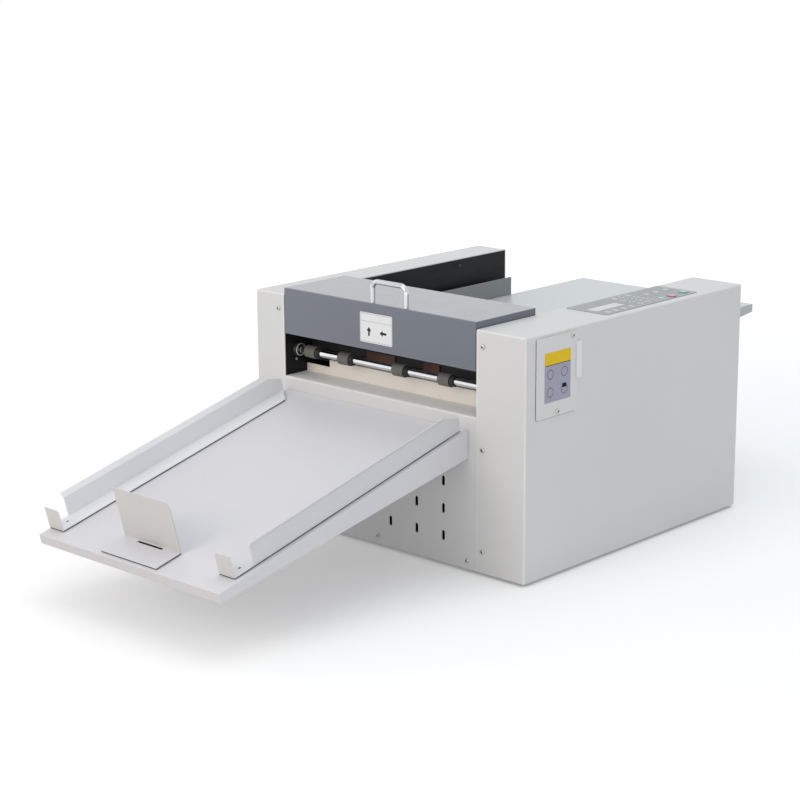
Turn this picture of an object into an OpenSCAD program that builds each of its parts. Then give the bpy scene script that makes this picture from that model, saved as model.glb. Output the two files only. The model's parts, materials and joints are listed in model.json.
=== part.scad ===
// Desktop paper creasing machine: two sheet-metal casings on black side frames, a hinged
// cover over the creasing unit, a delivery tray in front and a feed table behind.
// Millimetres. X runs across the machine, Y from the delivery side to the feed side, Z up.
// Inside machine() the zero is the front foot line: y = 0 is the front of the casings and
// z = 0 is the underside of the base plate, which stands on the rubber feet.

/* [Body] */
// Clear width between the two casings
open_w = 360; // [300:5:420]
// Width of the left casing
left_w = 57; // [50:1:80]
// Width of the right casing, which carries the keypad
right_w = 83; // [76:1:110]
// Height of the casings
body_h = 330; // [300:5:380]
// Depth of the casings
body_d = 486; // [420:6:600]
// Thickness of the casing sheet
sheet = 1.5; // [1:0.1:2]
// Outer bend radius of the casing sheet
bend_r = 2.5; // [2:0.5:4]
// Thickness of the side frames
frame_t = 3; // [2:0.5:5]
// Width of the flanges bent out from the side frames
flange_w = 16; // [12:1:24]
// Height of the rubber feet
foot_h = 4; // [3:1:12]
// Radius of the rubber feet
foot_r = 12; // [8:1:16]

/* [Paper path] */
// Depth of the paper path below the casing tops
path_drop = 74; // [68:1:90]
// Height of the feed table's surface above the paper path
table_rise = 4; // [2:0.5:8]
// Distance between the feed table and each side frame
table_inset = 15; // [8:1:45]
// How far the feed table reaches behind the casings
table_reach = 180.5; // [120:0.5:240]
// Depth of the feed table's flange at its far end
table_lip = 12; // [10:1:20]
// Depth of the feed table's flange inside the machine
table_web = 33; // [24:1:40]
// Height of the feed guides
guide_h = 28; // [18:1:40]
// Travel of each feed guide towards the middle
guide_travel = 110; // [60:5:120]

/* [Cover] */
// Depth of the cover from front to back
cover_d = 122; // [118:1:140]
// Height of the cover's top above the casing tops
cover_rise = 9.5; // [6:0.5:14]
// Height of the cover's front plate
cover_front_h = 65.5; // [50:0.5:70]
// Gap between the cover and each casing
cover_gap = 1.5; // [1:0.25:3]
// Distance between the legs of the cover's handle
handle_pitch = 62; // [50:1:96]
// Height of the handle above the cover
handle_h = 33; // [26:1:44]
// Radius of the handle's rod
handle_r = 3.5; // [2.5:0.25:4.5]
// Bend radius of that rod, to its middle
handle_bend = 10; // [6:0.5:14]
// Sideways offset of the handle from the middle of the cover
handle_shift = 20; // [-40:1:40]

/* [Rollers] */
// Radius of the delivery rollers
delivery_r = 9; // [8:0.5:11]
// Width of a delivery roller
delivery_roller_w = 20; // [14:1:30]
// Places of the two left delivery rollers, from the left side frame
delivery_left = [31, 97]; // [16:1:120]
// Places of the two right delivery rollers, from the right side frame
delivery_right = [159, 75]; // [20:1:170]
// Radius of the delivery shaft
delivery_shaft_r = 5; // [3.5:0.5:5.5]
// Width of the plastic hub on the keypad side of a delivery roller
delivery_hub_w = 5.5; // [3:0.5:8]
// Radius of the feed and pressure rollers
feed_r = 10; // [8:0.5:11]
// Width of a feed roller
feed_roller_w = 34; // [20:1:44]
// Radius of the feed shaft and the cam shaft
drive_shaft_r = 5; // [4:0.5:5.5]

/* [Creasing unit] */
// Stroke of the creasing beam
crease_stroke = 5; // [3:0.5:5.5]
// Thickness of the creasing blade
blade_t = 1; // [0.6:0.1:1.5]
// How far the blade enters the anvil's groove
blade_entry = 0.4; // [0.2:0.1:1]
// Width of the groove in the anvil
groove_w = 2; // [1.6:0.1:3]

/* [Tray] */
// Distance between the delivery tray and the left side frame
tray_left = 3; // [1:0.5:20]
// Distance between the delivery tray and the right side frame
tray_right = 14; // [1:0.5:30]
// Length of the delivery tray along its slope
tray_l = 459; // [360:1:520]
// Slope of the delivery tray in degrees
tray_tilt = 14; // [10:0.5:18]
// Depth of the tray's upper edge below the shelf
tray_drop = 19; // [8:1:30]
// Thickness of the tray's sheet
tray_t = 1.2; // [1:0.1:2]
// Depth of the tray's front lip
tray_lip = 13; // [10:1:18]
// Depth of the tray's side walls where they meet the machine
tray_web = 39; // [30:1:42]
// Height of the tray's side rails
rail_h = 29; // [20:1:40]
// Width of the foot of a side rail
rail_foot = 28; // [18:1:34]
// Width of the lip that leans out along the top of a side rail
rail_lip = 8; // [6:1:18]
// Lean of that lip from the upright in degrees
rail_flare = 40; // [20:5:70]
// Thickness of the magnetic strips under the rails and the end stop
magnet_t = 1.4; // [0.8:0.1:2]
// Travel of each side rail towards the middle
rail_travel = 80; // [40:5:84]
// Width of the end stop
stop_w = 106; // [80:2:120]
// Height of the end stop
stop_h = 71; // [50:1:90]
// Depth of the end stop's foot
stop_foot = 42; // [30:1:60]

/* [Front panel] */
// Depth of the shelf at the top of the front panel below the paper path
shelf_drop = 44; // [42:1:54]
// Depth of the shelf
shelf_d = 43.5; // [40:0.5:46]
// Thickness of the front panel's sheet
panel_t = 1.2; // [1:0.1:1.5]
// Distance between the columns of slots
slot_pitch_x = 48.7; // [40:0.1:56]
// Distance between the rows of slots
slot_pitch_z = 38.3; // [30:0.1:42]
// Length of a slot
slot_l = 14; // [10:0.5:20]
// Width of a slot
slot_w = 5.5; // [3:0.1:6]

/* [Keypad] */
// Width of the keypad panel
pad_w = 70; // [60:1:76]
// Length of the keypad panel
pad_l = 210; // [200:1:240]
// Distance of the keypad panel from the front of the casing
pad_y = 182; // [160:1:200]
// Thickness of the keypad panel
pad_t = 0.8; // [0.5:0.1:1.2]
// Travel of the start and stop keys
key_travel = 0.8; // [0.4:0.1:1.2]

/* [Hidden] */
$fn = 48;

// Clearances: a running fit, a gap between loose sheets and a slip fit in one body
run = 0.05;
gap = 0.3;
slip = 0.02;

// Overall places across the machine
total_w = left_w + open_w + right_w;
x_out = total_w / 2;
x_left = -x_out + left_w;
x_right = x_out - right_w;
x_mid = (x_left + x_right) / 2;
table_w = open_w - 2 * table_inset;
tray_w = open_w - tray_left - tray_right;
delivery_x = [
    x_left + delivery_left[0], x_left + delivery_left[1],
    x_right - delivery_right[0], x_right - delivery_right[1]
];

// Overall heights above the base
path_z = body_h - path_drop;
table_z = path_z + table_rise;
shelf_z = path_z - shelf_drop;
tray_z = shelf_z - tray_drop;

// The origin is below the middle of the whole object
tray_reach = tray_l * cos(tray_tilt);
front_y = -(body_d + table_reach - tray_reach) / 2;

// Inner limits of the casings
y_in0 = sheet + gap;
y_in1 = body_d - sheet - gap;
z_top = body_h - sheet;
base_t = 2;

// Gears and pulleys
module_size = 1;
train_teeth = 40;
cam_teeth = 40;
pinion_teeth = 16;
backlash = 0.25;
gear_w = 6;
feed_pulley_r = 16;
motor_pulley_r = 8;
belt_t = 1.6;
belt_w = 8;

// Shaft places, each as [y, z]
delivery_at_yz = [26, path_z - 0.5 - delivery_r];
feed_at_yz = [100, delivery_at_yz[1]];
idler_at_yz = [(delivery_at_yz[0] + feed_at_yz[0]) / 2, delivery_at_yz[1]];
pressure_at_yz = [feed_at_yz[0], feed_top() + gap + feed_r];
cam_at_yz = [62, body_h - 18];
pinion_at_yz = [cam_at_yz[0] + module_size * (cam_teeth + pinion_teeth) / 2, cam_at_yz[1]];
hinge_at_yz = [cover_d - 10, body_h - 10];
motor_at_yz = [180, 120];
idler_teeth = (feed_at_yz[0] - delivery_at_yz[0]) / module_size - train_teeth;
function feed_top() = feed_at_yz[1] + feed_r;

// Bushes and bearings
bush_r = 8;
bush_flange_r = 10.5;
bush_flange_t = 1.5;

// Creasing unit
anvil_y0 = 54;
anvil_y1 = 70;
beam_z = path_z + 10;
beam_h = 18;
ecc_r = 10;
ecc_e = crease_stroke / 2;
ecc_w = 12;
yoke_slack = 0.7;
yoke_wall = 4;
yoke_x = [x_left + 27, x_right - 25];
tongue_w = 8;

// Pressure roller mounting
block_w = 14;
block_h = 16;
spring_h = 14;

// Cover
cover_t = 1.5;
cover_z = body_h + cover_rise;
cover_x0 = x_left + cover_gap;
cover_x1 = x_right - cover_gap;
skirt_h = cover_rise + 4;
pin_r = 3;

// Screws
screw_r = 2;
screw_head_r = 3.5;
screw_head_h = 2.2;
screw_l = 6;
side_screw_x = 11;
screw_z = [29.7, body_h / 2 + 4.5, body_h - 21.4];
panel_screw_z = 11.6;
panel_screw_x = open_w / 2 - 15.4;

// Service plate on the right casing, in y and z
plate_lo = [20.4, body_h - 113];
plate_hi = [104.4, body_h - 5];
plate_t = 1.2;
plate_screws = [[93.9, plate_hi[1] - 5.7], [63.6, plate_lo[1] + 5.9]];

// Keypad, in x and y
pad_x0 = x_out - 81;
lcd_at = [pad_x0 + 37.6, pad_y + 40];
lcd_w = 18.4;
lcd_l = 61;
start_at = [pad_x0 + 56.1, pad_y + 194.5];
stop_at = [pad_x0 + 60.4, pad_y + 161.7];
key_w = 12;
key_l = 10;
board_z = z_top - 10.5;

// Inlet and switch on the back of the right casing
inlet_x = x_right + 43;
inlet_z = 40;
inlet_w = 30;
inlet_h = 58;
rocker_tilt = 8;
rocker_at_yz = [body_d - 3, inlet_z + 40];

// ------------------------------------------------------------------ helpers

// Moves the machine frame to the part's origin
module machine() {
    translate([0, front_y, foot_h]) children();
}

// The frame of the sloping tray: y runs up the slope and z stands square to it
module on_tray() {
    machine() translate([0, 0, tray_z]) rotate([tray_tilt, 0, 0]) children();
}

// A block given by its two corners
module block(lo, hi) {
    translate(lo) cube(hi - lo);
}

// A rod along X
module x_rod(r, x0, x1, at) {
    translate([x0, at[0], at[1]]) rotate([0, 90, 0]) cylinder(r = r, h = x1 - x0);
}

// A rod along Y
module y_rod(r, y0, y1, x, z) {
    translate([x, y1, z]) rotate([90, 0, 0]) cylinder(r = r, h = y1 - y0);
}

// A tube along X
module x_tube(r, bore, x0, x1, at) {
    difference() {
        x_rod(r, x0, x1, at);
        x_rod(bore, x0 - 1, x1 + 1, at);
    }
}

// A flat outline in y and z, extruded along X
module x_prism(x0, x1) {
    translate([x0, 0, 0]) rotate([90, 0, 90]) linear_extrude(x1 - x0) children();
}

// A flat outline in x and z, extruded along Y
module y_prism(y0, y1) {
    translate([0, y1, 0]) rotate([90, 0, 0]) linear_extrude(y1 - y0) children();
}

// A rectangle with round corners, from lo to hi
module round_rect(lo, hi, r) {
    w = hi[0] - lo[0];
    h = hi[1] - lo[1];
    translate([lo[0] + r, lo[1]]) square([w - 2 * r, h]);
    translate([lo[0], lo[1] + r]) square([w, h - 2 * r]);
    for (x = [lo[0] + r, hi[0] - r], y = [lo[1] + r, hi[1] - r])
        translate([x, y]) circle(r);
}

// A box whose edges are all bent to radius r
module bent_box(lo, hi, r) {
    intersection() {
        translate([0, 0, lo[2]]) linear_extrude(hi[2] - lo[2])
            round_rect([lo[0], lo[1]], [hi[0], hi[1]], r);
        x_prism(lo[0], hi[0]) round_rect([lo[1], lo[2]], [hi[1], hi[2]], r);
        y_prism(lo[1], hi[1]) round_rect([lo[0], lo[2]], [hi[0], hi[2]], r);
    }
}

// A slot through a sheet that faces Y, its length along Z
module z_slot(x, z, w, l, y0, y1) {
    y_prism(y0, y1) round_rect([x - w / 2, z - l / 2], [x + w / 2, z + l / 2], w / 2 - 0.01);
}

// Mirrors a piece across the middle of the opening
module other_side() {
    translate([2 * x_mid, 0, 0]) mirror([1, 0, 0]) children();
}

// ------------------------------------------------------------------ gears

// Outline of a spur gear with a tooth centred on angle phase
function tooth_corner(n, i, r, off, phase) =
    let (a = phase + i * 360 / n + off / r * 180 / PI)
    [r * cos(a), r * sin(a)];
function gear_outline(n, m, phase) =
    let (
        root = m * n / 2 - 1.25 * m,
        tip = m * n / 2 + m,
        half = m * PI / 4 - backlash / 2,
        at_tip = half - m * tan(20),
        at_root = half + 1.25 * m * tan(20)
    )
    [
        for (i = [0:n - 1], k = [0:3])
            tooth_corner(
                n, i, (k == 0 || k == 3) ? root : tip,
                (k < 2 ? -1 : 1) * ((k == 0 || k == 3) ? at_root : at_tip), phase
            )
    ];

// A gear on a shaft along X
module x_gear(n, phase, bore, x0, x1, at) {
    difference() {
        translate([0, at[0], at[1]]) x_prism(x0, x1)
            polygon(gear_outline(n, module_size, phase));
        x_rod(bore, x0 - 1, x1 + 1, at);
    }
}

// ------------------------------------------------------------------ structure

module base_plate() color("dimgray") machine() {
    lip_h = 20;
    difference() {
        union() {
            block([-x_out + y_in0, y_in0, 0], [x_out - y_in0, y_in1, base_t]);
            block([x_left + gap, y_in0, 0], [x_right - gap, y_in0 + base_t, lip_h]);
            block([x_left + gap, y_in1 - base_t, 0], [x_right - gap, y_in1, lip_h]);
        }
        for (k = [-1, 0, 1])
            y_rod(screw_r + 0.1, 0, body_d, x_mid + k * panel_screw_x, panel_screw_z);
    }
}

module rubber_feet() color("black") machine() {
    for (x = [-x_out + 35, x_out - 35], y = [36, body_d - 36])
        translate([x, y, -foot_h]) cylinder(r = foot_r, h = foot_h);
}

// Side frame with flanges bent outwards (towards -X): side = 1 for the left frame
module side_frame_sheet() {
    block([x_left - frame_t, y_in0, base_t], [x_left, y_in1, z_top - gap]);
    for (y = [y_in0, y_in1 - frame_t])
        block([x_left - frame_t - flange_w, y, base_t + frame_t],
              [x_left, y + frame_t, z_top - gap - 12]);
    block([x_left - frame_t - flange_w, y_in0, base_t],
          [x_left, y_in1, base_t + frame_t]);
    cover_rest();
}

// Tab that the cover's skirt comes down on
module cover_rest() {
    top_z = cover_z - skirt_h - 0.1;
    block([x_left - 1, 18, top_z - 5], [x_left + cover_gap + cover_t + 1, 30, top_z]);
}

module side_frame_holes() {
    for (at = [delivery_at_yz, feed_at_yz, cam_at_yz])
        x_rod(bush_r + slip, x_left - frame_t - 1, x_left + 1, at);
    block([x_left - frame_t - 1, cam_at_yz[0] - tongue_w / 2 - gap / 2,
           beam_z + 2 - crease_stroke - 1],
          [x_left + 1, cam_at_yz[0] + tongue_w / 2 + gap / 2, beam_z + beam_h - 1]);
    block([x_left - frame_t - 1, pressure_at_yz[0] - block_w / 2 - gap / 2,
           pressure_at_yz[1] - block_h / 2 - gap / 2],
          [x_left + 1, pressure_at_yz[0] + block_w / 2 + gap / 2,
           pressure_at_yz[1] + block_h / 2 + spring_h + gap]);
    for (z = screw_z)
        y_rod(screw_r + 0.1, -1, body_d + 1, x_left - side_screw_x, z);
}

module left_side_frame() color("#1c1c1e") machine() {
    difference() {
        side_frame_sheet();
        side_frame_holes();
    }
    x_rod(4, x_left - frame_t - 11, x_left - frame_t, idler_at_yz);
}

module right_side_frame() color("#1c1c1e") machine() {
    difference() {
        other_side() side_frame_sheet();
        other_side() side_frame_holes();
        x_rod(6, x_right - 1, x_right + frame_t + 1, pinion_at_yz);
        x_rod(12, x_right - 1, x_right + frame_t + 1, motor_at_yz);
    }
}

module tie_bars() color("silver") machine() {
    for (at = [[40, 40], [body_d - 36, 40], [body_d - 36, 200]])
        x_rod(6, x_left, x_right, at);
}

// A casing whose outer side is at x = 0, open below and towards the machine
module casing_shell(w) {
    out = 20;
    difference() {
        intersection() {
            block([0, 0, 0], [w, body_d, body_h]);
            bent_box([0, 0, -out], [w + out, body_d, body_h], bend_r);
        }
        bent_box([sheet, sheet, -out], [w + out, body_d - sheet, z_top], bend_r - sheet + 0.01);
    }
}

module casing_screw_holes(x) {
    for (z = screw_z)
        y_rod(screw_r + 0.1, -1, body_d + 1, x, z);
}

module left_casing() color("#d3d2cd") machine() {
    difference() {
        translate([-x_out, 0, 0]) casing_shell(left_w);
        casing_screw_holes(x_left - side_screw_x);
    }
}

module right_casing() color("#d3d2cd") machine() {
    inset = 4;
    difference() {
        translate([x_out, 0, 0]) mirror([1, 0, 0]) casing_shell(right_w);
        casing_screw_holes(x_right + side_screw_x);
        block([x_out - sheet - 1, plate_lo[0] + 2.5 * inset, plate_lo[1] + 3 * inset],
              [x_out + 1, plate_hi[0] - 3.5 * inset, plate_hi[1] - 3 * inset]);
        for (at = plate_screws)
            x_rod(screw_r + 0.1, x_out - sheet - 1, x_out + 1, at);
        for (at = [start_at, stop_at])
            block([at[0] - key_w / 2 - gap, at[1] - key_l / 2 - gap, z_top - 1],
                  [at[0] + key_w / 2 + gap, at[1] + key_l / 2 + gap, body_h + 1]);
        block([lcd_at[0] - lcd_w / 2 + 1, lcd_at[1] - lcd_l / 2 + 1, z_top - 1],
              [lcd_at[0] + lcd_w / 2 - 1, lcd_at[1] + lcd_l / 2 - 1, body_h + 1]);
        block([inlet_x - inlet_w / 2 + 1.2, body_d - sheet - 1, inlet_z + 1.2],
              [inlet_x + inlet_w / 2 - 1.2, body_d + 1, inlet_z + inlet_h - 1.2]);
    }
}

// Places of the hanging slots for the tray, above the rows of plain slots
hook_z = tray_z - 21;
function slot_columns() = [for (k = [-2.5:1:2.5]) x_mid + k * slot_pitch_x];
function hook_columns() = [x_mid - 1.5 * slot_pitch_x, x_mid + 1.5 * slot_pitch_x];

// Height of the shelf's turned-down rear edge
shelf_back_h = 12;

module front_panel() color("#d3d2cd") machine() {
    x0 = x_left + gap;
    x1 = x_right - gap;
    difference() {
        union() {
            intersection() {
                block([x0, 0, 0], [x1, shelf_d, shelf_z]);
                difference() {
                    x_prism(x0, x1)
                        round_rect([0, -20], [shelf_d + 20, shelf_z], 2);
                    x_prism(x0 - 1, x1 + 1)
                        round_rect([panel_t, -20], [shelf_d + 20, shelf_z - panel_t], 0.8);
                }
            }
            block([x0, shelf_d - panel_t, shelf_z - shelf_back_h], [x1, shelf_d, shelf_z]);
        }
        for (x = slot_columns(), row = [1:3])
            z_slot(x, row * slot_pitch_z, slot_w, slot_l, -1, panel_t + 1);
        for (x = hook_columns())
            z_slot(x, hook_z, slot_w, slot_l, -1, panel_t + 1);
        for (k = [-1, 0, 1])
            y_rod(screw_r + 0.1, -1, panel_t + 1, x_mid + k * panel_screw_x, panel_screw_z);
    }
}

module rear_panel() color("#d3d2cd") machine() {
    vent_l = 40;
    top_z = table_z - table_web - 3;
    difference() {
        block([x_left + gap, y_in1 + gap, 0], [x_right - gap, body_d, top_z]);
        for (col = [-2:2], row = [0:3])
            y_prism(body_d - 4, body_d + 1)
                round_rect([x_mid + col * 60 - vent_l / 2, top_z - 40 - row * 12],
                           [x_mid + col * 60 + vent_l / 2, top_z - 36 - row * 12], 1.9);
        for (k = [-1, 0, 1])
            y_rod(screw_r + 0.1, body_d - 4, body_d + 1, x_mid + k * panel_screw_x,
                  panel_screw_z);
    }
}

// ------------------------------------------------------------------ paper path

guide_top_z = shelf_z + 22;

// Cream guide plate under the delivery rollers, stepped down at its left end
module delivery_guide() color("#cfc5ba") machine() {
    t = 2;
    step = 10.5;
    step_x = x_left + 46;
    block([x_left + gap, shelf_d, shelf_z - shelf_back_h],
          [x_right - gap, shelf_d + t, guide_top_z - step]);
    block([step_x, shelf_d, shelf_z], [x_right - gap, shelf_d + t, guide_top_z]);
    block([step_x, shelf_d, guide_top_z - t], [x_right - gap, anvil_y0, guide_top_z]);
}

// Brown guide with two wide fingers that stand between the delivery rollers
module exit_guide() color("#5a3a2a") machine() {
    t = 2;
    fingers = [[-68.5, -14.5], [39, 68.5]];
    root_z = max(path_z - 12, guide_top_z + 2);
    block([x_left + gap, anvil_y0 - t, guide_top_z], [x_right - gap, anvil_y0, root_z]);
    for (ends = fingers)
        block([x_mid + ends[0], anvil_y0 - t, root_z - 1],
              [x_mid + ends[1], anvil_y0, path_z - 0.5]);
}

module creasing_anvil() color("gray") machine() {
    groove_d = 1.5;
    difference() {
        block([x_left, anvil_y0, path_z - 28], [x_right, anvil_y1, path_z - 0.3]);
        block([x_left - 1, cam_at_yz[0] - groove_w / 2, path_z - 0.3 - groove_d],
              [x_right + 1, cam_at_yz[0] + groove_w / 2, path_z + 1]);
    }
}

// Places of the feed rollers, from the middle of the opening
feed_at = [-120, -40, 40, 120];

// Bed plate between the anvil and the feed table, cut out for the feed rollers
module paper_bed() color("lightgray") machine() {
    t = 1.5;
    slack = 2;
    top_z = path_z - 0.3;
    inset = bush_flange_t + 0.5;
    difference() {
        union() {
            block([x_left + inset, anvil_y1, top_z - t],
                  [x_right - inset, feed_at_yz[0] + 30, top_z]);
            block([x_left + inset, anvil_y1, top_z - 14], [x_right - inset, anvil_y1 + t, top_z]);
        }
        for (dx = feed_at)
            block([x_mid + dx - feed_roller_w / 2 - slack, feed_at_yz[0] - feed_r - slack,
                   top_z - 12.4],
                  [x_mid + dx + feed_roller_w / 2 + slack, feed_at_yz[0] + feed_r + slack,
                   top_z + 1]);
    }
}

table_y0 = feed_at_yz[0] + 31;
table_y1 = body_d + table_reach;
table_x0 = x_mid - table_w / 2;
table_x1 = x_mid + table_w / 2;
guide_slot_y = 300;
guide_stud_in = 18;
guide_stud_r = 2.5;

module feed_table() color("#dcdfe0") machine() {
    t = 1.2;
    web_z = table_z - table_web;
    taper_y = body_d - 6;
    difference() {
        union() {
            block([table_x0, table_y0, table_z - t], [table_x1, table_y1, table_z]);
            for (x = [table_x0, table_x1 - t])
                x_prism(x, x + t) polygon([
                    [table_y0, table_z - t / 2], [table_y1, table_z - t / 2],
                    [table_y1, table_z - table_lip], [taper_y, web_z], [table_y0, web_z]
                ]);
            block([table_x0, table_y1 - t, table_z - table_lip], [table_x1, table_y1, table_z]);
        }
        for (side = [-1, 1])
            block([x_mid + side * (table_w / 2 - guide_stud_in) - guide_stud_r - gap
                   - (side > 0 ? guide_travel : 0),
                   guide_slot_y - guide_stud_r - gap, table_z - t - 1],
                  [x_mid + side * (table_w / 2 - guide_stud_in) + guide_stud_r + gap
                   + (side < 0 ? guide_travel : 0),
                   guide_slot_y + guide_stud_r + gap, table_z + 1]);
    }
}

module table_bracket(y) {
    l = 30;
    t = 2;
    z1 = table_z - 12;
    z0 = z1 - 18;
    block([x_left, y, z1 - t], [table_x0, y + l, z1]);
    block([x_left, y, z0], [x_left + t, y + l, z1]);
    block([table_x0 - t, y, z0], [table_x0, y + l, z1]);
}

module table_brackets() color("gray") machine() {
    for (y = [170, body_d - 70]) {
        table_bracket(y);
        other_side() table_bracket(y);
    }
}

// ------------------------------------------------------------------ bearings

// A flanged bush in the left frame, its flange towards the machine
module flanged_bush(at, bore) {
    difference() {
        union() {
            x_rod(bush_r, x_left - frame_t - 1, x_left, at);
            x_rod(bush_flange_r, x_left, x_left + bush_flange_t, at);
        }
        x_rod(bore + run, x_left - frame_t - 2, x_left + bush_flange_t + 1, at);
    }
}

module shaft_bushes() color("goldenrod") machine() {
    for (k = [0, 1]) {
        mirror_x = k == 1;
        bush_pair_side(mirror_x) {
            flanged_bush(delivery_at_yz, delivery_shaft_r);
            flanged_bush(feed_at_yz, drive_shaft_r);
            flanged_bush(cam_at_yz, drive_shaft_r);
        }
    }
}

// Draws its children on the left frame, or mirrored on the right one
module bush_pair_side(flip) {
    if (flip) other_side() children();
    if (!flip) children();
}

pressure_shaft_r = 4;
block_out = frame_t + 1.5;

// Bearing block in the slot of the left frame
module pressure_block() {
    difference() {
        block([x_left - block_out, pressure_at_yz[0] - block_w / 2,
               pressure_at_yz[1] - block_h / 2],
              [x_left + 3, pressure_at_yz[0] + block_w / 2, pressure_at_yz[1] + block_h / 2]);
        x_rod(pressure_shaft_r + run, x_left - frame_t - 4, x_left + 4, pressure_at_yz);
    }
}

module pressure_blocks() color("white") machine() {
    pressure_block();
    other_side() pressure_block();
}

module pressure_spring() {
    translate([x_left - frame_t / 2, pressure_at_yz[0], pressure_at_yz[1] + block_h / 2])
        difference() {
            cylinder(r = 4, h = spring_h);
            translate([0, 0, -1]) cylinder(r = 2.6, h = spring_h + 2);
        }
}

module pressure_springs() color("silver") machine() {
    pressure_spring();
    other_side() pressure_spring();
}

// Stud on the left frame that carries the cover's ear
module hinge_pin() {
    x_rod(4.5, x_left, x_left + cover_gap - gap, hinge_at_yz);
    x_rod(pin_r, x_left, x_left + cover_gap + cover_t + 2, hinge_at_yz);
    x_rod(5, x_left + cover_gap + cover_t + gap, x_left + cover_gap + cover_t + 2, hinge_at_yz);
}

module hinge_pins() color("silver") machine() {
    hinge_pin();
    other_side() hinge_pin();
}

// ------------------------------------------------------------------ panels and screws

// Access plate on the right side, with a raised pull at its rear edge
module service_plate() color("#c9ccce") machine() {
    pull_z = [plate_lo[1] + 44, plate_hi[1] - 15];
    pull_y = [101.4, 112];
    pull_t = 3;
    difference() {
        union() {
            x_prism(x_out, x_out + plate_t) round_rect(plate_lo, plate_hi, 3);
            x_prism(x_out, x_out + pull_t)
                round_rect([pull_y[0], pull_z[0]], [pull_y[1], pull_z[1]], 2);
        }
        for (at = plate_screws)
            x_rod(screw_r + 0.1, x_out - 1, x_out + plate_t + 1, at);
    }
}

// Thin plate on the service plate: a plain yellow band above a grey field
module function_plate() color("slategray") machine() {
    x_prism(x_out + plate_t, x_out + plate_t + 0.4)
        round_rect([37, plate_lo[1] + 20.4], [90, plate_hi[1] - 21.5], 1);
}

module pan_head_screw() {
    rotate_extrude() polygon([
        [0, -screw_l], [screw_r, -screw_l], [screw_r, 0], [screw_head_r, 0],
        [screw_head_r, screw_head_h * 0.5], [screw_head_r * 0.7, screw_head_h * 0.9],
        [0, screw_head_h]
    ]);
}

module casing_screws() color("silver") machine() {
    for (x = [x_left - side_screw_x, x_right + side_screw_x], z = screw_z) {
        translate([x, 0, z]) rotate([90, 0, 0]) pan_head_screw();
        translate([x, body_d, z]) rotate([-90, 0, 0]) pan_head_screw();
    }
    for (k = [-1, 0, 1]) {
        x = x_mid + k * panel_screw_x;
        translate([x, 0, panel_screw_z]) rotate([90, 0, 0]) pan_head_screw();
        translate([x, body_d, panel_screw_z]) rotate([-90, 0, 0]) pan_head_screw();
    }
    for (at = plate_screws)
        translate([x_out + plate_t, at[0], at[1]]) rotate([0, 90, 0]) pan_head_screw();
}

// ------------------------------------------------------------------ keypad

module keypad_panel() color("#7c8286") machine() {
    difference() {
        translate([0, 0, body_h]) linear_extrude(pad_t)
            round_rect([pad_x0, pad_y], [pad_x0 + pad_w, pad_y + pad_l], 3);
        for (at = [start_at, stop_at])
            block([at[0] - key_w / 2 - gap, at[1] - key_l / 2 - gap, body_h - 1],
                  [at[0] + key_w / 2 + gap, at[1] + key_l / 2 + gap, body_h + 2]);
        block([lcd_at[0] - lcd_w / 2, lcd_at[1] - lcd_l / 2, body_h - 1],
              [lcd_at[0] + lcd_w / 2, lcd_at[1] + lcd_l / 2, body_h + 2]);
    }
}

module display_window() color("#c8ccd2") machine() {
    block([lcd_at[0] - lcd_w / 2 + 0.1, lcd_at[1] - lcd_l / 2 + 0.1, body_h],
          [lcd_at[0] + lcd_w / 2 - 0.1, lcd_at[1] + lcd_l / 2 - 0.1, body_h + pad_t]);
}

// Circuit board under the keypad, with the display and the two key switches
module key_board() color("darkgreen") machine() {
    board_t = 1.6;
    post_x = [pad_x0 + 8, pad_x0 + pad_w - 8];
    block([pad_x0 + 4, pad_y + 6, board_z], [pad_x0 + pad_w - 4, pad_y + pad_l - 2, board_z + board_t]);
    for (x = post_x, y = [pad_y + 10, pad_y + 120])
        translate([x, y, board_z + board_t]) cylinder(r = 2.5, h = z_top - board_z - board_t);
    block([lcd_at[0] - lcd_w / 2 - 4, lcd_at[1] - lcd_l / 2 - 4, board_z + board_t],
          [lcd_at[0] + lcd_w / 2 + 4, lcd_at[1] + lcd_l / 2 + 4, z_top - 1]);
    for (at = [start_at, stop_at])
        block([at[0] - 3, at[1] - 3, board_z + board_t], [at[0] + 3, at[1] + 3, switch_top()]);
}
function switch_top() = z_top - 4 - key_travel;

// A key cap: a round-cornered head over a flange that the casing's top holds down
module key_cap(at) {
    head_z = body_h + pad_t + key_travel + 0.4;
    translate([0, 0, z_top - gap]) linear_extrude(head_z - z_top + gap)
        round_rect([at[0] - key_w / 2, at[1] - key_l / 2],
                   [at[0] + key_w / 2, at[1] + key_l / 2], 2);
    block([at[0] - key_w / 2 - 1.5, at[1] - key_l / 2 - 1.5, z_top - gap - 1.2],
          [at[0] + key_w / 2 + 1.5, at[1] + key_l / 2 + 1.5, z_top - gap]);
    block([at[0] - 2, at[1] - 2, switch_top() + key_travel + 0.1],
          [at[0] + 2, at[1] + 2, z_top - gap]);
}

module start_key() color("#4f9c86") machine() key_cap(start_at);
module stop_key() color("#b05064") machine() key_cap(stop_at);

// ------------------------------------------------------------------ electrics

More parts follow.
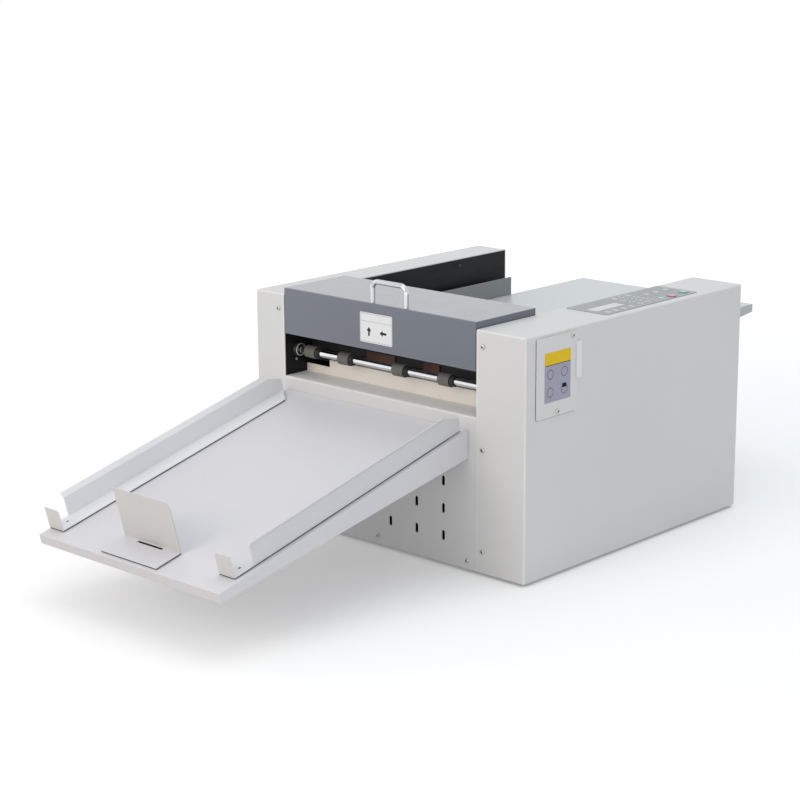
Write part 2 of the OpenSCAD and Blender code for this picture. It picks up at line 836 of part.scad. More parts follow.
// Mains inlet and switch housing on the back of the right casing
module power_inlet() color("#202022") machine() {
    y1 = body_d + 2.5;
    x0 = inlet_x - inlet_w / 2;
    x1 = inlet_x + inlet_w / 2;
    difference() {
        union() {
            block([x0, body_d, inlet_z], [x1, y1, inlet_z + inlet_h]);
            block([x0 + 1.5, body_d - 30, inlet_z + 1.5], [x1 - 1.5, body_d, inlet_z + inlet_h - 1.5]);
        }
        y_prism(body_d - 15, y1 + 1)
            round_rect([inlet_x - 12, inlet_z + 5], [inlet_x + 12, inlet_z + 21], 3);
        block([inlet_x - 11, body_d - 13, rocker_at_yz[1] - 12.6],
              [inlet_x + 11, y1 + 1, rocker_at_yz[1] + 12.6]);
    }
    for (k = [-1, 1])
        block([inlet_x + k * 7 - 1, body_d - 16, inlet_z + 9],
              [inlet_x + k * 7 + 1, body_d - 3, inlet_z + 13]);
    block([inlet_x - 1, body_d - 16, inlet_z + 14], [inlet_x + 1, body_d - 3, inlet_z + 18]);
    for (k = [-1, 1])
        x_rod(1.5, inlet_x + (k < 0 ? -11.5 : 9.4), inlet_x + (k < 0 ? -9.4 : 11.5), rocker_at_yz);
}

// The rocker at rest is pressed in at its lower end
module power_rocker() color("#101012") machine() {
    translate([0, rocker_at_yz[0], rocker_at_yz[1]]) rotate([-rocker_tilt, 0, 0])
        difference() {
            x_prism(inlet_x - 10.5, inlet_x + 10.5)
                polygon([[-5, -5], [2.5, -11.2], [5.5, 0], [2.5, 11.2], [-5, 5]]);
            x_rod(1.5 + run, inlet_x - 12, inlet_x - 9.2, [0, 0]);
            x_rod(1.5 + run, inlet_x + 9.2, inlet_x + 12, [0, 0]);
        }
}

module control_board() color("darkgreen") machine() {
    x0 = x_right + frame_t;
    y0 = 235;
    z0 = 60;
    post = 8;
    board = [1.6, 170, 140];
    for (y = [y0 + 6, y0 + board[1] - 6], z = [z0 + 6, z0 + board[2] - 6])
        x_rod(3, x0, x0 + post, [y, z]);
    block([x0 + post, y0, z0], [x0 + post + board[0], y0 + board[1], z0 + board[2]]);
    x1 = x0 + post + board[0];
    for (k = [0:3])
        x_rod(7, x1, x1 + 22, [y0 + 24 + k * 18, z0 + 24]);
    block([x1, y0 + 100, z0 + 20], [x1 + 16, y0 + 150, z0 + 60]);
    for (k = [0:4])
        block([x1, y0 + 20 + k * 26, z0 + board[2] - 18],
              [x1 + 10, y0 + 38 + k * 26, z0 + board[2] - 10]);
}

module power_supply() color("silver") machine() {
    x1 = x_left - frame_t;
    block([x1 - 38, 240, 30], [x1, 400, 128]);
    block([x1 - 34, 400, 44], [x1 - 12, 412, 114]);
}

module feed_motor() color("#303033") machine() {
    half = 28.2;
    at = motor_at_yz;
    difference() {
        union() {
            block([x_right - 56, at[0] - half, at[1] - half], [x_right, at[0] + half, at[1] + half]);
            x_rod(11.5, x_right, x_right + 1.6, at);
        }
        x_rod(4 + run, x_right - 20, x_right + 2, at);
    }
}

module crease_motor() color("#303033") machine() {
    x0 = x_right + frame_t;
    difference() {
        union() {
            x_rod(15, x0, x0 + 24, pinion_at_yz);
            x_rod(13.5, x0 + 24, x0 + 62, pinion_at_yz);
        }
        x_rod(3 + run, x0 - 1, x0 + 16, pinion_at_yz);
    }
}

// ------------------------------------------------------------------ belt drive

belt_x0 = x_right + frame_t + 4;
function polar(c, r, a) = [c[0] + r * cos(a), c[1] + r * sin(a)];

// Outline round the two pulleys at a distance d from their faces
module belt_outline(d) {
    c1 = feed_at_yz;
    c2 = motor_at_yz;
    r1 = feed_pulley_r + d;
    r2 = motor_pulley_r + d;
    way = atan2(c2[1] - c1[1], c2[0] - c1[0]);
    wrap = acos((r1 - r2) / norm(c2 - c1));
    translate(c1) circle(r1);
    translate(c2) circle(r2);
    polygon([
        polar(c1, r1, way + wrap), polar(c2, r2, way + wrap),
        polar(c2, r2, way - wrap), polar(c1, r1, way - wrap)
    ]);
}

module timing_belt() color("black") machine() {
    x_prism(belt_x0 + 1, belt_x0 + 1 + belt_w) difference() {
        belt_outline(gap + belt_t);
        belt_outline(gap);
    }
}

// A pulley with a flange at each end of its belt track
module pulley(r, bore, at) {
    difference() {
        union() {
            x_rod(r, belt_x0, belt_x0 + belt_w + 2, at);
            x_rod(r + 2.5, belt_x0 - 0.3, belt_x0 + 0.7, at);
            x_rod(r + 2.5, belt_x0 + belt_w + 1.3, belt_x0 + belt_w + 2.3, at);
        }
        x_rod(bore, belt_x0 - 1, belt_x0 + belt_w + 3, at);
    }
}

module feed_pulley() color("silver") machine()
    pulley(feed_pulley_r, drive_shaft_r + slip, feed_at_yz);

// The motor's pulley with the rotor shaft that it is pressed on
module motor_pulley() color("silver") machine() {
    pulley(motor_pulley_r, 3.5, motor_at_yz);
    x_rod(4, x_right - 18, belt_x0 + belt_w + 4, motor_at_yz);
}

// ------------------------------------------------------------------ rollers

module delivery_shaft() color("gainsboro") machine()
    x_rod(delivery_shaft_r, x_left - frame_t - 9, x_right + frame_t + 3, delivery_at_yz);

// Rubber rollers, each with a narrower hub on its keypad side
module delivery_rollers() color("#8a8a80") machine() {
    hub_r = delivery_r - 1.5;
    for (x = delivery_x) {
        x0 = x - delivery_roller_w / 2;
        x1 = x0 + delivery_roller_w;
        difference() {
            union() {
                x_rod(delivery_r, x0, x1, delivery_at_yz);
                x_rod(hub_r, x1 - 1, x1 + delivery_hub_w, delivery_at_yz);
            }
            x_rod(delivery_shaft_r + slip, x0 - 1, x1 + delivery_hub_w + 1, delivery_at_yz);
        }
    }
}

gear_x1 = x_left - frame_t - 2;
gear_x0 = gear_x1 - gear_w;

module delivery_gear() color("ivory") machine()
    x_gear(train_teeth, 0, delivery_shaft_r + slip, gear_x0, gear_x1, delivery_at_yz);

module idler_gear() color("ivory") machine()
    x_gear(idler_teeth, 180 / idler_teeth, 4 + run, gear_x0, gear_x1, idler_at_yz);

module feed_gear() color("ivory") machine()
    x_gear(train_teeth, 0, drive_shaft_r + slip, gear_x0, gear_x1, feed_at_yz);

module feed_shaft() color("gainsboro") machine()
    x_rod(drive_shaft_r, x_left - frame_t - 9, belt_x0 + belt_w + 4, feed_at_yz);

module feed_rollers() color("#3a3a3a") machine() {
    for (dx = feed_at)
        x_tube(feed_r, drive_shaft_r + slip, x_mid + dx - feed_roller_w / 2,
               x_mid + dx + feed_roller_w / 2, feed_at_yz);
}

module pressure_shaft() color("gainsboro") machine()
    x_rod(pressure_shaft_r, x_left - block_out, x_right + block_out, pressure_at_yz);

module pressure_rollers() color("#3a3a3a") machine() {
    for (dx = feed_at)
        x_tube(feed_r, pressure_shaft_r + slip, x_mid + dx - feed_roller_w / 2 + 2,
               x_mid + dx + feed_roller_w / 2 - 2, pressure_at_yz);
}

// ------------------------------------------------------------------ creasing unit

module cam_shaft() color("gainsboro") machine()
    x_rod(drive_shaft_r, x_left - frame_t - 3, x_right + frame_t - 0.5, cam_at_yz);

// Discs set off from the shaft's axis; at rest they point straight up
module eccentrics() color("silver") machine() {
    for (x = yoke_x)
        difference() {
            x_rod(ecc_r, x - ecc_w / 2 - 1, x + ecc_w / 2 + 1,
                  cam_at_yz + [0, ecc_e]);
            x_rod(drive_shaft_r + slip, x - ecc_w, x + ecc_w, cam_at_yz);
        }
}

cam_gear_x0 = x_right - 11;

module cam_gear() color("silver") machine()
    x_gear(cam_teeth, 0, drive_shaft_r + slip, cam_gear_x0, cam_gear_x0 + gear_w, cam_at_yz);

// The pinion with the shaft of the gear motor that it is cut on
module crease_pinion() color("silver") machine() {
    x_gear(pinion_teeth, 180 / pinion_teeth, 2.5, cam_gear_x0, cam_gear_x0 + gear_w,
           pinion_at_yz);
    x_rod(3, cam_gear_x0, x_right + frame_t + 14, pinion_at_yz);
}

// The yoke round one eccentric, standing on the beam
module yoke(x) {
    half_w = ecc_r + ecc_e + yoke_slack;
    z0 = cam_at_yz[1] + ecc_e - ecc_r - yoke_slack;
    z1 = cam_at_yz[1] + ecc_e + ecc_r + yoke_slack;
    difference() {
        block([x - ecc_w / 2, cam_at_yz[0] - half_w - yoke_wall, beam_z + beam_h - 1],
              [x + ecc_w / 2, cam_at_yz[0] + half_w + yoke_wall, z1 + yoke_wall]);
        block([x - ecc_w, cam_at_yz[0] - half_w, z0], [x + ecc_w, cam_at_yz[0] + half_w, z1]);
    }
}

module creasing_beam() color("#6f7378") machine() {
    y = cam_at_yz[0];
    difference() {
        union() {
            block([x_left + 4, anvil_y0, beam_z], [x_right - 4, anvil_y1, beam_z + beam_h]);
            block([x_left - frame_t - 0.5, y - tongue_w / 2, beam_z + 2],
                  [x_right + frame_t + 0.5, y + tongue_w / 2, beam_z + beam_h - 3]);
            for (x = yoke_x) yoke(x);
        }
        block([x_left + 9.8, y - blade_t / 2 - slip, beam_z - 1],
              [x_right - 9.8, y + blade_t / 2 + slip, beam_z + 6]);
    }
}

module creasing_blade() color("gainsboro") machine() {
    y = cam_at_yz[0];
    tip_z = path_z - 0.3 - blade_entry + crease_stroke;
    block([x_left + 10, y - blade_t / 2, tip_z], [x_right - 10, y + blade_t / 2, beam_z + 5.9]);
}

// ------------------------------------------------------------------ cover

module cover() color("#5d6674") machine() {
    z0 = cover_z - cover_front_h;
    z1 = cover_z;
    wall = cover_t;
    difference() {
        union() {
            // Front and top, one bent sheet
            intersection() {
                block([cover_x0, 0, z0], [cover_x1, cover_d, z1]);
                difference() {
                    x_prism(cover_x0, cover_x1)
                        round_rect([0, z0 - 20], [cover_d + 20, z1], 2.2);
                    x_prism(cover_x0 - 1, cover_x1 + 1)
                        round_rect([wall, z0 - 20], [cover_d + 20, z1 - wall], 0.7);
                }
            }
            // Hem along the lower front edge
            block([cover_x0, 0.5, z0], [cover_x1, 9, z0 + wall]);
            // Rear skirt
            block([cover_x0, cover_d - wall, z1 - 11], [cover_x1, cover_d, z1 - 0.5]);
            cover_side();
            other_side() cover_side();
        }
        x_rod(pin_r + run, x_left - 1, x_left + 8, hinge_at_yz);
        x_rod(pin_r + run, x_right - 8, x_right + 1, hinge_at_yz);
    }
}

// Side skirt, front return and hinge ear at the left end of the cover
module cover_side() {
    z0 = cover_z - cover_front_h;
    ear_r = 7;
    block([cover_x0, 0.8, cover_z - skirt_h], [cover_x0 + cover_t, cover_d, cover_z - 0.5]);
    block([cover_x0, 0.8, z0], [cover_x0 + cover_t, 12, cover_z - 1]);
    block([cover_x0, hinge_at_yz[0] - ear_r, hinge_at_yz[1]],
          [cover_x0 + cover_t, hinge_at_yz[0] + ear_r, cover_z - skirt_h + 1]);
    x_rod(ear_r, cover_x0, cover_x0 + cover_t, hinge_at_yz);
}

module cover_handle() color("gainsboro") machine() {
    y = 5.5;
    r = handle_bend;
    x0 = x_mid + handle_shift - handle_pitch / 2;
    x1 = x_mid + handle_shift + handle_pitch / 2;
    top = cover_z + handle_h - handle_r;
    for (x = [x0, x1])
        translate([x, y, cover_z]) cylinder(r = handle_r, h = top - r - cover_z);
    x_rod(handle_r, x0 + r, x1 - r, [y, top]);
    for (side = [0, 1])
        translate([side == 0 ? x0 + r : x1 - r, y, top - r])
            rotate([90, side == 0 ? -90 : 0, 0])
            rotate_extrude(angle = 90) translate([r, 0]) circle(handle_r);
}

module cover_label() color("white") machine() {
    label_w = 60;
    label_h = 41.6;
    z0 = cover_z - cover_front_h + 10.2;
    y_prism(-0.4, 0)
        round_rect([x_mid - label_w / 2, z0], [x_mid + label_w / 2, z0 + label_h], 2);
}

// ------------------------------------------------------------------ tray

tray_x0 = x_left + tray_left;
tray_x1 = tray_x0 + tray_w;
tray_gap = 0.5;
function slope_z(y) = tray_z + y * tan(tray_tilt);

// One hook bent from the tray's upper wall through the front panel
module tray_hook(x) {
    t = 2.5;
    z0 = hook_z - slot_l / 2 + 2 * gap;
    block([x - t / 2, -tray_gap - tray_t, z0], [x + t / 2, panel_t + 3.4, z0 + 10]);
    block([x - t / 2, panel_t + 0.6, z0 - 8], [x + t / 2, panel_t + 3.4, z0 + 10]);
}

// A point at u along the slope and w square to it, as [y, z]
function tray_point(u, w) =
    [u * cos(tray_tilt) - w * sin(tray_tilt), tray_z + u * sin(tray_tilt) + w * cos(tray_tilt)];

module delivery_tray() color("#c9cccf") machine() {
    y1 = -tray_gap;
    y2 = y1 - tray_t;
    below = 20;
    difference() {
        x_prism(tray_x0, tray_x1) polygon([
            tray_point(-tray_l, 0), [y1, slope_z(y1)],
            [y1, tray_z - tray_web], tray_point(-tray_l, -tray_lip)
        ]);
        x_prism(tray_x0 + tray_t, tray_x1 - tray_t) polygon([
            tray_point(-tray_l + tray_t, -tray_t), [y2, slope_z(y2) - tray_t / cos(tray_tilt)],
            [y2, tray_z - tray_web - below], tray_point(-tray_l + tray_t, -tray_lip - below)
        ]);
    }
    for (x = hook_columns())
        tray_hook(x);
}

// Places of the rails' ends along the slope: the upper end, and for each rail its near end and
// the near end of its wall
rail_back = -8;
left_rail_ends = [-440.5, -409];
right_rail_ends = [-425.5, -392.5];
rail_cut = 23;
sheet_t = 1.2;
slide_gap = 0.2;
foot_z = slide_gap + magnet_t;
magnet_in = 0.3;

// A side rail with its wall at x = 0 and its foot towards +X. The wall stands on the foot, its
// lip leans away from the paper, and both are cut back at the upper end.
module side_rail(front, wall_front) {
    tab_r = 5;
    tab_h = rail_h + 2;
    cut_h = 10;
    difference() {
        translate([0, 0, foot_z]) linear_extrude(sheet_t) polygon([
            [0, front], [rail_foot, front], [rail_foot, rail_back - rail_cut],
            [sheet_t, rail_back], [0, rail_back]
        ]);
        translate([rail_foot * 0.45, front + 20, foot_z - 1]) cylinder(r = 2, h = 4);
    }
    block([magnet_in, front + magnet_in, slide_gap],
          [rail_foot - magnet_in, rail_back - rail_cut - magnet_in, foot_z]);
    x_prism(0, sheet_t) polygon([
        [wall_front, foot_z], [rail_back, foot_z], [rail_back, rail_h - cut_h],
        [rail_back - rail_cut, rail_h], [wall_front, rail_h]
    ]);
    y_prism(wall_front, rail_back - rail_cut - 7) rail_lip_outline();
    y_prism(front, front + sheet_t) difference() {
        translate([0, foot_z]) square([rail_foot, tab_h - foot_z]);
        translate([rail_foot - tab_r, tab_h - tab_r]) difference() {
            square(tab_r + 1);
            circle(tab_r);
        }
    }
}

// The bent top of a rail in x and z
module rail_lip_outline() {
    along = rail_lip * [-sin(rail_flare), cos(rail_flare)];
    across = sheet_t * [cos(rail_flare), sin(rail_flare)];
    bend = [sheet_t, rail_h];
    polygon([
        [0, rail_h - sheet_t], [sheet_t, rail_h - sheet_t], bend, bend + along,
        bend + along - across, [0, rail_h - sheet_t * tan(rail_flare / 2)]
    ]);
}

left_rail_x = tray_x0;
right_rail_x = tray_x1 - 6.5;

module left_rail() color("#c4c8cc") on_tray()
    translate([left_rail_x, 0, 0]) side_rail(left_rail_ends[0], left_rail_ends[1]);

module right_rail() color("#c4c8cc") on_tray()
    translate([right_rail_x, 0, 0]) mirror([1, 0, 0])
        side_rail(right_rail_ends[0], right_rail_ends[1]);

// Paper stop: a foot on a magnetic strip and an upright plate bent up from it
module end_stop() color("#c2bfba") on_tray() {
    corner = 9;
    x0 = tray_x0 + (tray_w - stop_w) / 2;
    x1 = x0 + stop_w;
    y0 = -tray_l + 6;
    y1 = y0 + stop_foot;
    relief_l = 47;
    relief_w = 4.3;
    relief_y = y1 - 2.3;
    difference() {
        block([x0, y0, foot_z], [x1, y1, foot_z + sheet_t]);
        block([(x0 + x1 - relief_l) / 2, relief_y - relief_w, foot_z],
              [(x0 + x1 + relief_l) / 2, relief_y, foot_z + 3]);
    }
    block([x0 + magnet_in, y0 + magnet_in, slide_gap], [x1 - magnet_in, y1 - magnet_in, foot_z]);
    y_prism(y1 - sheet_t, y1) difference() {
        translate([x0, foot_z]) square([stop_w, stop_h - foot_z]);
        translate([x1 - corner, stop_h - corner]) difference() {
            square(corner + 1);
            circle(corner);
        }
    }
}

// ------------------------------------------------------------------ feed guides

// Left feed guide: a wall on the table's edge and a stud that runs in the table's slot
module feed_guide() {
    t = 1.5;
    z0 = table_z + 0.2;
    foot_l = 24;
    stud_x = table_x0 + guide_stud_in;
    block([table_x0, table_y0 + 12, z0], [table_x0 + t, body_d - 5, z0 + guide_h]);
    block([table_x0, guide_slot_y - foot_l / 2, z0],
          [stud_x + 6, guide_slot_y + foot_l / 2, z0 + t]);
    translate([stud_x, guide_slot_y, table_z - 7]) cylinder(r = guide_stud_r, h = 8);
    translate([stud_x, guide_slot_y, table_z - 7]) cylinder(r = 7, h = 5.5);
}

module left_feed_guide() color("#6a6d70") machine() feed_guide();
module right_feed_guide() color("#6a6d70") machine() other_side() feed_guide();

// ------------------------------------------------------------------ nodes

base_plate();
rubber_feet();
left_side_frame();
right_side_frame();
tie_bars();
left_casing();
right_casing();
front_panel();
rear_panel();
delivery_guide();
exit_guide();
creasing_anvil();
paper_bed();
feed_table();
table_brackets();
shaft_bushes();
pressure_blocks();
pressure_springs();
hinge_pins();
service_plate();
function_plate();
keypad_panel();
display_window();
key_board();
casing_screws();
power_inlet();
control_board();
power_supply();
feed_motor();
crease_motor();
timing_belt();
delivery_tray();
cover();
cover_handle();
cover_label();
delivery_shaft();
delivery_rollers();
delivery_gear();
feed_shaft();
feed_rollers();
feed_gear();
feed_pulley();
pressure_shaft();
pressure_rollers();
idler_gear();
motor_pulley();
cam_shaft();
eccentrics();
cam_gear();
crease_pinion();
creasing_beam();
creasing_blade();
left_rail();
right_rail();
end_stop();
left_feed_guide();
right_feed_guide();
power_rocker();
start_key();
stop_key();
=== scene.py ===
"""Looks of a desktop paper creasing machine, built round its fixed CAD frame."""

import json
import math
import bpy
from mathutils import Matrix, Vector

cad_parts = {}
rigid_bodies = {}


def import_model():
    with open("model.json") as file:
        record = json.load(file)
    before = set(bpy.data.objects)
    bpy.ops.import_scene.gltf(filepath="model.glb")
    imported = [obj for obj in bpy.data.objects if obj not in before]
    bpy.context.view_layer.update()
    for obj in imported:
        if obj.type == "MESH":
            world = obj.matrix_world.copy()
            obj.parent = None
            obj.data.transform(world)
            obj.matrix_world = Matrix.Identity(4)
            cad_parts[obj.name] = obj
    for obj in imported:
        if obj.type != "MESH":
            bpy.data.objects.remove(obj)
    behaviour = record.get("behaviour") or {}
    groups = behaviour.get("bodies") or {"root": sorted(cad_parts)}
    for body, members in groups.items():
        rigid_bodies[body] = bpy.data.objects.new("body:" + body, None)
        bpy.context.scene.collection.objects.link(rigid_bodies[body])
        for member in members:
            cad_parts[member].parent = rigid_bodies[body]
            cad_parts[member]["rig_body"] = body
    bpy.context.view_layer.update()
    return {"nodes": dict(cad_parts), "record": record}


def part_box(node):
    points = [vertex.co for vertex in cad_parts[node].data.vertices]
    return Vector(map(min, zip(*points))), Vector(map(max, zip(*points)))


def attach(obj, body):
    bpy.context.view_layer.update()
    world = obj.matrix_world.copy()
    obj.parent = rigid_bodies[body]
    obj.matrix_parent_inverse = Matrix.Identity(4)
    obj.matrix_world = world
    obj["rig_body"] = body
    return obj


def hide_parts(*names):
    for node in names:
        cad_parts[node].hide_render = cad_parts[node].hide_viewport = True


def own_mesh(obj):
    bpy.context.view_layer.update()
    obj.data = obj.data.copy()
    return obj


bl_info = {
    "name": "Paper creasing machine",
    "version": (1, 0, 0),
    "blender": (4, 5, 0),
    "location": "View3D > Sidebar > Creasing machine",
    "description": "Finishes and fine pieces of a desktop paper creasing machine",
    "category": "Object",
}

import bmesh
import bpy
from mathutils import Matrix, Vector

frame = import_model()
MM = 0.001
FLAT = math.radians(0.6)  # faces that turn less than this are one
# Planes of the row frame that the places below are measured from
FRONT_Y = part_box("left_casing")[0].y
BASE_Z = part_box("base_plate")[0].z
FRAME_LEFT_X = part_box("left_side_frame")[1].x
FRAME_RIGHT_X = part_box("right_side_frame")[0].x


def at(x, y, z):
    """A point of the machine in millimetres, from the front of the casings and the base."""
    return Vector((x * MM, FRONT_Y + y * MM, BASE_Z + z * MM))


# ---------------------------------------------------------------- node building


def _operation(kind, swapped=False):
    """A method that puts a value, and the other term if there is one, through a Math node."""
    def run(value, *others):
        return value.math(kind, *((*others, value) if swapped else (value, *others)))

    return run


class Value:
    """A number socket that Python sums can use."""

    def __init__(self, graph, socket):
        self.graph = graph
        self.socket = socket

    def math(self, kind, *terms, clamp=False):
        settings = {"operation": kind, "use_clamp": clamp}
        return self.graph.node("ShaderNodeMath", settings, dict(enumerate(terms)))

    __add__ = __radd__ = _operation("ADD")
    __sub__ = _operation("SUBTRACT")
    __rsub__ = _operation("SUBTRACT", swapped=True)
    __mul__ = __rmul__ = _operation("MULTIPLY")
    __truediv__ = _operation("DIVIDE")
    __mod__ = _operation("FLOORED_MODULO")
    __gt__ = _operation("GREATER_THAN")
    __lt__ = _operation("LESS_THAN")
    __abs__ = _operation("ABSOLUTE")
    sine = _operation("SINE")
    largest = _operation("MAXIMUM")
    smallest = _operation("MINIMUM")

    def limited(self):
        return self.math("ADD", self, 0.0, clamp=True)

    def ramp(self, start, end, low=0.0, high=1.0):
        """A smooth step from low at start to high at end."""
        settings = {"interpolation_type": "SMOOTHSTEP"}
        ends = {0: self, 1: start, 2: end, 3: low, 4: high}
        return self.graph.node("ShaderNodeMapRange", settings, ends)

    def near(self, place, inner, outer):
        """One as far as inner from a place, falling to zero at outer."""
        return abs(self - place).ramp(inner, outer, 1.0, 0.0)


def strongest(masks):
    """The largest of several values at each point."""
    whole = masks[0]
    for mask in masks[1:]:
        whole = whole.largest(mask)
    return whole


class Graph:
    """A node tree, and the one method that adds to it."""

    def __init__(self, tree):
        self.tree = tree

    def node(self, kind, settings=None, inputs=None, output=0):
        made = self.tree.nodes.new(kind)
        for key, value in (settings or {}).items():
            setattr(made, key, value)
        for key, value in (inputs or {}).items():
            if isinstance(value, Value):
                self.tree.links.new(value.socket, made.inputs[key])
            else:
                made.inputs[key].default_value = value
        return Value(self, made.outputs[output])


class Finish(Graph):
    """One procedural finish on Object coordinates."""

    def __init__(self, name):
        self.material = bpy.data.materials.new(name)
        self.material.use_nodes = True
        super().__init__(self.material.node_tree)
        self.tree.nodes.clear()
        self.place = self.node("ShaderNodeTexCoord", output="Object")

    def axis(self, index):
        return self.node("ShaderNodeSeparateXYZ", None, {0: self.place}, index)

    def inset(self, low, high, *axes):
        """How far a point lies inside a box, along the given axes."""
        spots = [(self.axis(k), low[k], high[k]) for k in axes]
        gaps = [gap for spot, start, end in spots for gap in (spot - start, end - spot)]
        least = gaps[0]
        for gap in gaps[1:]:
            least = least.smallest(gap)
        return least

    def noise(self, scale, detail=2.0, stretch=(1, 1, 1), roughness=0.5):
        spot = self.node("ShaderNodeMapping", None, {"Vector": self.place, "Scale": stretch})
        inputs = {"Vector": spot, "Scale": scale, "Detail": detail, "Roughness": roughness}
        return self.node("ShaderNodeTexNoise", None, inputs)

    def drift(self, *settings, **more):
        """Noise that swings round zero."""
        return self.noise(*settings, **more) - 0.5

    def mix(self, low, high, share):
        """Two colours mixed by a share from 0 to 1."""
        inputs = {0: share, 6: low, 7: high}
        return self.node("ShaderNodeMix", {"data_type": "RGBA"}, inputs, 2)

    def tinted(self, colour, change):
        """A colour made darker or lighter by a change round zero."""
        low, high = ([min(1.0, c * s) for c in colour[:3]] + [1.0] for s in (0.75, 1.25))
        return self.mix(low, high, (change * 2.0 + 0.5).limited())

    def done(self, tone, gloss, relief=None, **others):
        """Ends the tree in one shader. Relief is the bump's height and its depth in metres;
        the keys of the others are socket names with underscores."""
        sockets = {"Base Color": tone, "Roughness": gloss}
        if relief:
            bump = {"Height": relief[0], "Distance": relief[1], "Strength": 1.0}
            sockets["Normal"] = self.node("ShaderNodeBump", None, bump)
        sockets |= {key.replace("_", " "): value for key, value in others.items()}
        surface = self.node("ShaderNodeBsdfPrincipled", None, sockets)
        out = self.tree.nodes.new("ShaderNodeOutputMaterial")
        self.tree.links.new(surface.socket, out.inputs["Surface"])
        return self.material


# ---------------------------------------------------------------- finishes

BLACK, WHITE = (0, 0, 0, 1), (1, 1, 1, 1)
INK = (0.02, 0.02, 0.022)
EDGE_WEAR_AND_HIGHLIGHT = (0.0006, 0.0030)  # from full wear and painted highlight to none, away from an edge
PRINTED_LINE = (0.00015, 0.00035)  # from full ink to none, away from a line's middle
# Roughness, grain and depth of the finer powder coats
SHEET_COAT = (0.42, 1500.0, 0.00002)
STOP_COAT = (0.40, 1600.0, 0.00002)
GUIDE_COAT = (0.44, 1500.0, 0.00002)


def shaded(colour, share):
    """A colour made lighter or darker as a whole."""
    return [min(1.0, c * share) for c in colour]


def powder_coat(name, colour, roughness=0.46, grain=1400.0, depth=0.00004, edges=(),
                lacquer=0.0, lacquer_blur=0.3):
    """Baked powder paint: a fine orange peel, faint clouding, and edges a little brighter,
    partly wear and partly a painted highlight.
    Each edge is (axis, place, axis, place): a line where two faces meet."""
    f = Finish(name)
    peel = f.noise(grain)
    grit = peel - 0.5
    handled = f.noise(22.0, 4.0, roughness=0.65)
    tone = f.drift(5.0, 3.0) * 0.09 + grit * 0.07
    if edges:
        # Edges painted lighter: partly wear, partly a painted highlight for the light they catch
        worn = strongest([f.axis(a).near(at_a, *EDGE_WEAR_AND_HIGHLIGHT) * f.axis(b).near(at_b, *EDGE_WEAR_AND_HIGHLIGHT)
                          for a, at_a, b, at_b in edges])
        tone = tone + worn * (handled * 0.16 + 0.04)
    gloss = roughness + (handled - 0.5) * 0.14 + grit * 0.05
    return f.done(f.tinted(colour, tone), gloss, (peel, depth), Specular_IOR_Level=0.4,
                  Coat_Weight=lacquer, Coat_Roughness=lacquer_blur)


def smooth_paint(name, colour, roughness):
    """Stoved gloss paint on flat sheet, with faint rolling waves and slide marks along Y."""
    f = Finish(name)
    cloud = f.drift(4.0)
    slide = f.drift(1.0, 4.0, (900.0, 9.0, 60.0), 0.6)
    return f.done(f.tinted(colour, cloud * 0.05 + slide * 0.05),
                  roughness + slide * 0.12 + cloud * 0.06, (f.noise(30.0), 0.00006),
                  Coat_Weight=0.12 + cloud * 0.1, Coat_Roughness=0.3)


def dark_sheet(name, colour):
    """Matt black coating on the side frames, rubbed to a faint sheen."""
    f = Finish(name)
    grit = f.noise(2200.0)
    rubbed = f.noise(18.0, 5.0, (1.0, 0.3, 1.0), 0.7)
    return f.done(f.tinted(colour, (rubbed - 0.5) * 0.5 + (grit - 0.5) * 0.2),
                  rubbed.ramp(0.3, 0.75, 0.46, 0.66), (grit, 0.00003), Specular_IOR_Level=0.25)


def bright_metal(name, colour, lines=(1.0, 1.0, 1.0), roughness=0.26):
    """Ground or drawn bright steel with fine lines along the stretched axis."""
    f = Finish(name)
    drawn = f.noise(1.0, 3.0, tuple(s * 2600.0 for s in lines), 0.55)
    streak, haze = drawn - 0.5, f.drift(35.0, 3.0)
    return f.done(f.tinted(colour, streak * 0.22 + haze * 0.08),
                  roughness + streak * 0.16 + haze * 0.08, (drawn, 0.000012), Metallic=1.0)


def screw_steel(name, colour):
    """Bright zinc plate; the cross recess, marked on the mesh, is coloured near black."""
    f = Finish(name)
    recess = f.node("ShaderNodeAttribute", {"attribute_name": "recess"}, None, "Fac")
    haze = f.drift(900.0, 3.0)
    return f.done(f.mix(f.tinted(colour, haze * 0.2), (0.02, 0.02, 0.02, 1), recess),
                  0.28 + haze * 0.14 + recess * 0.3, Metallic=1.0 - recess * 0.6)


def magnet_sheet(name):
    """Black flexible magnet sheet with pressed lines along its length; its black also stands as
    a painted shadow line under the feet.
    """
    f = Finish(name)
    lines = (f.axis(0) * 3500.0).sine()
    dust = f.drift(400.0, 3.0)
    return f.done(f.tinted((0.018, 0.018, 0.019), lines * 0.1 + dust * 0.4),
                  0.75 + dust * 0.2)


def plated_shaft(name, colour, turned=()):
    """Hard chromed shaft: polished, with dull bands where the rollers and bushes ride.
    Each band is its middle and half its width along X."""
    f = Finish(name)
    fine = f.noise(1.0, 2.0, (5200.0, 40.0, 40.0))
    grain = (fine - 0.5) * 0.05
    gloss = 0.10 + grain
    if turned:
        bands = [f.axis(0).near(place, half, half + 0.002) for place, half in turned]
        gloss = gloss + strongest(bands) * 0.16
    return f.done(f.tinted(colour, grain), gloss, (fine, 0.000004), Metallic=1.0)


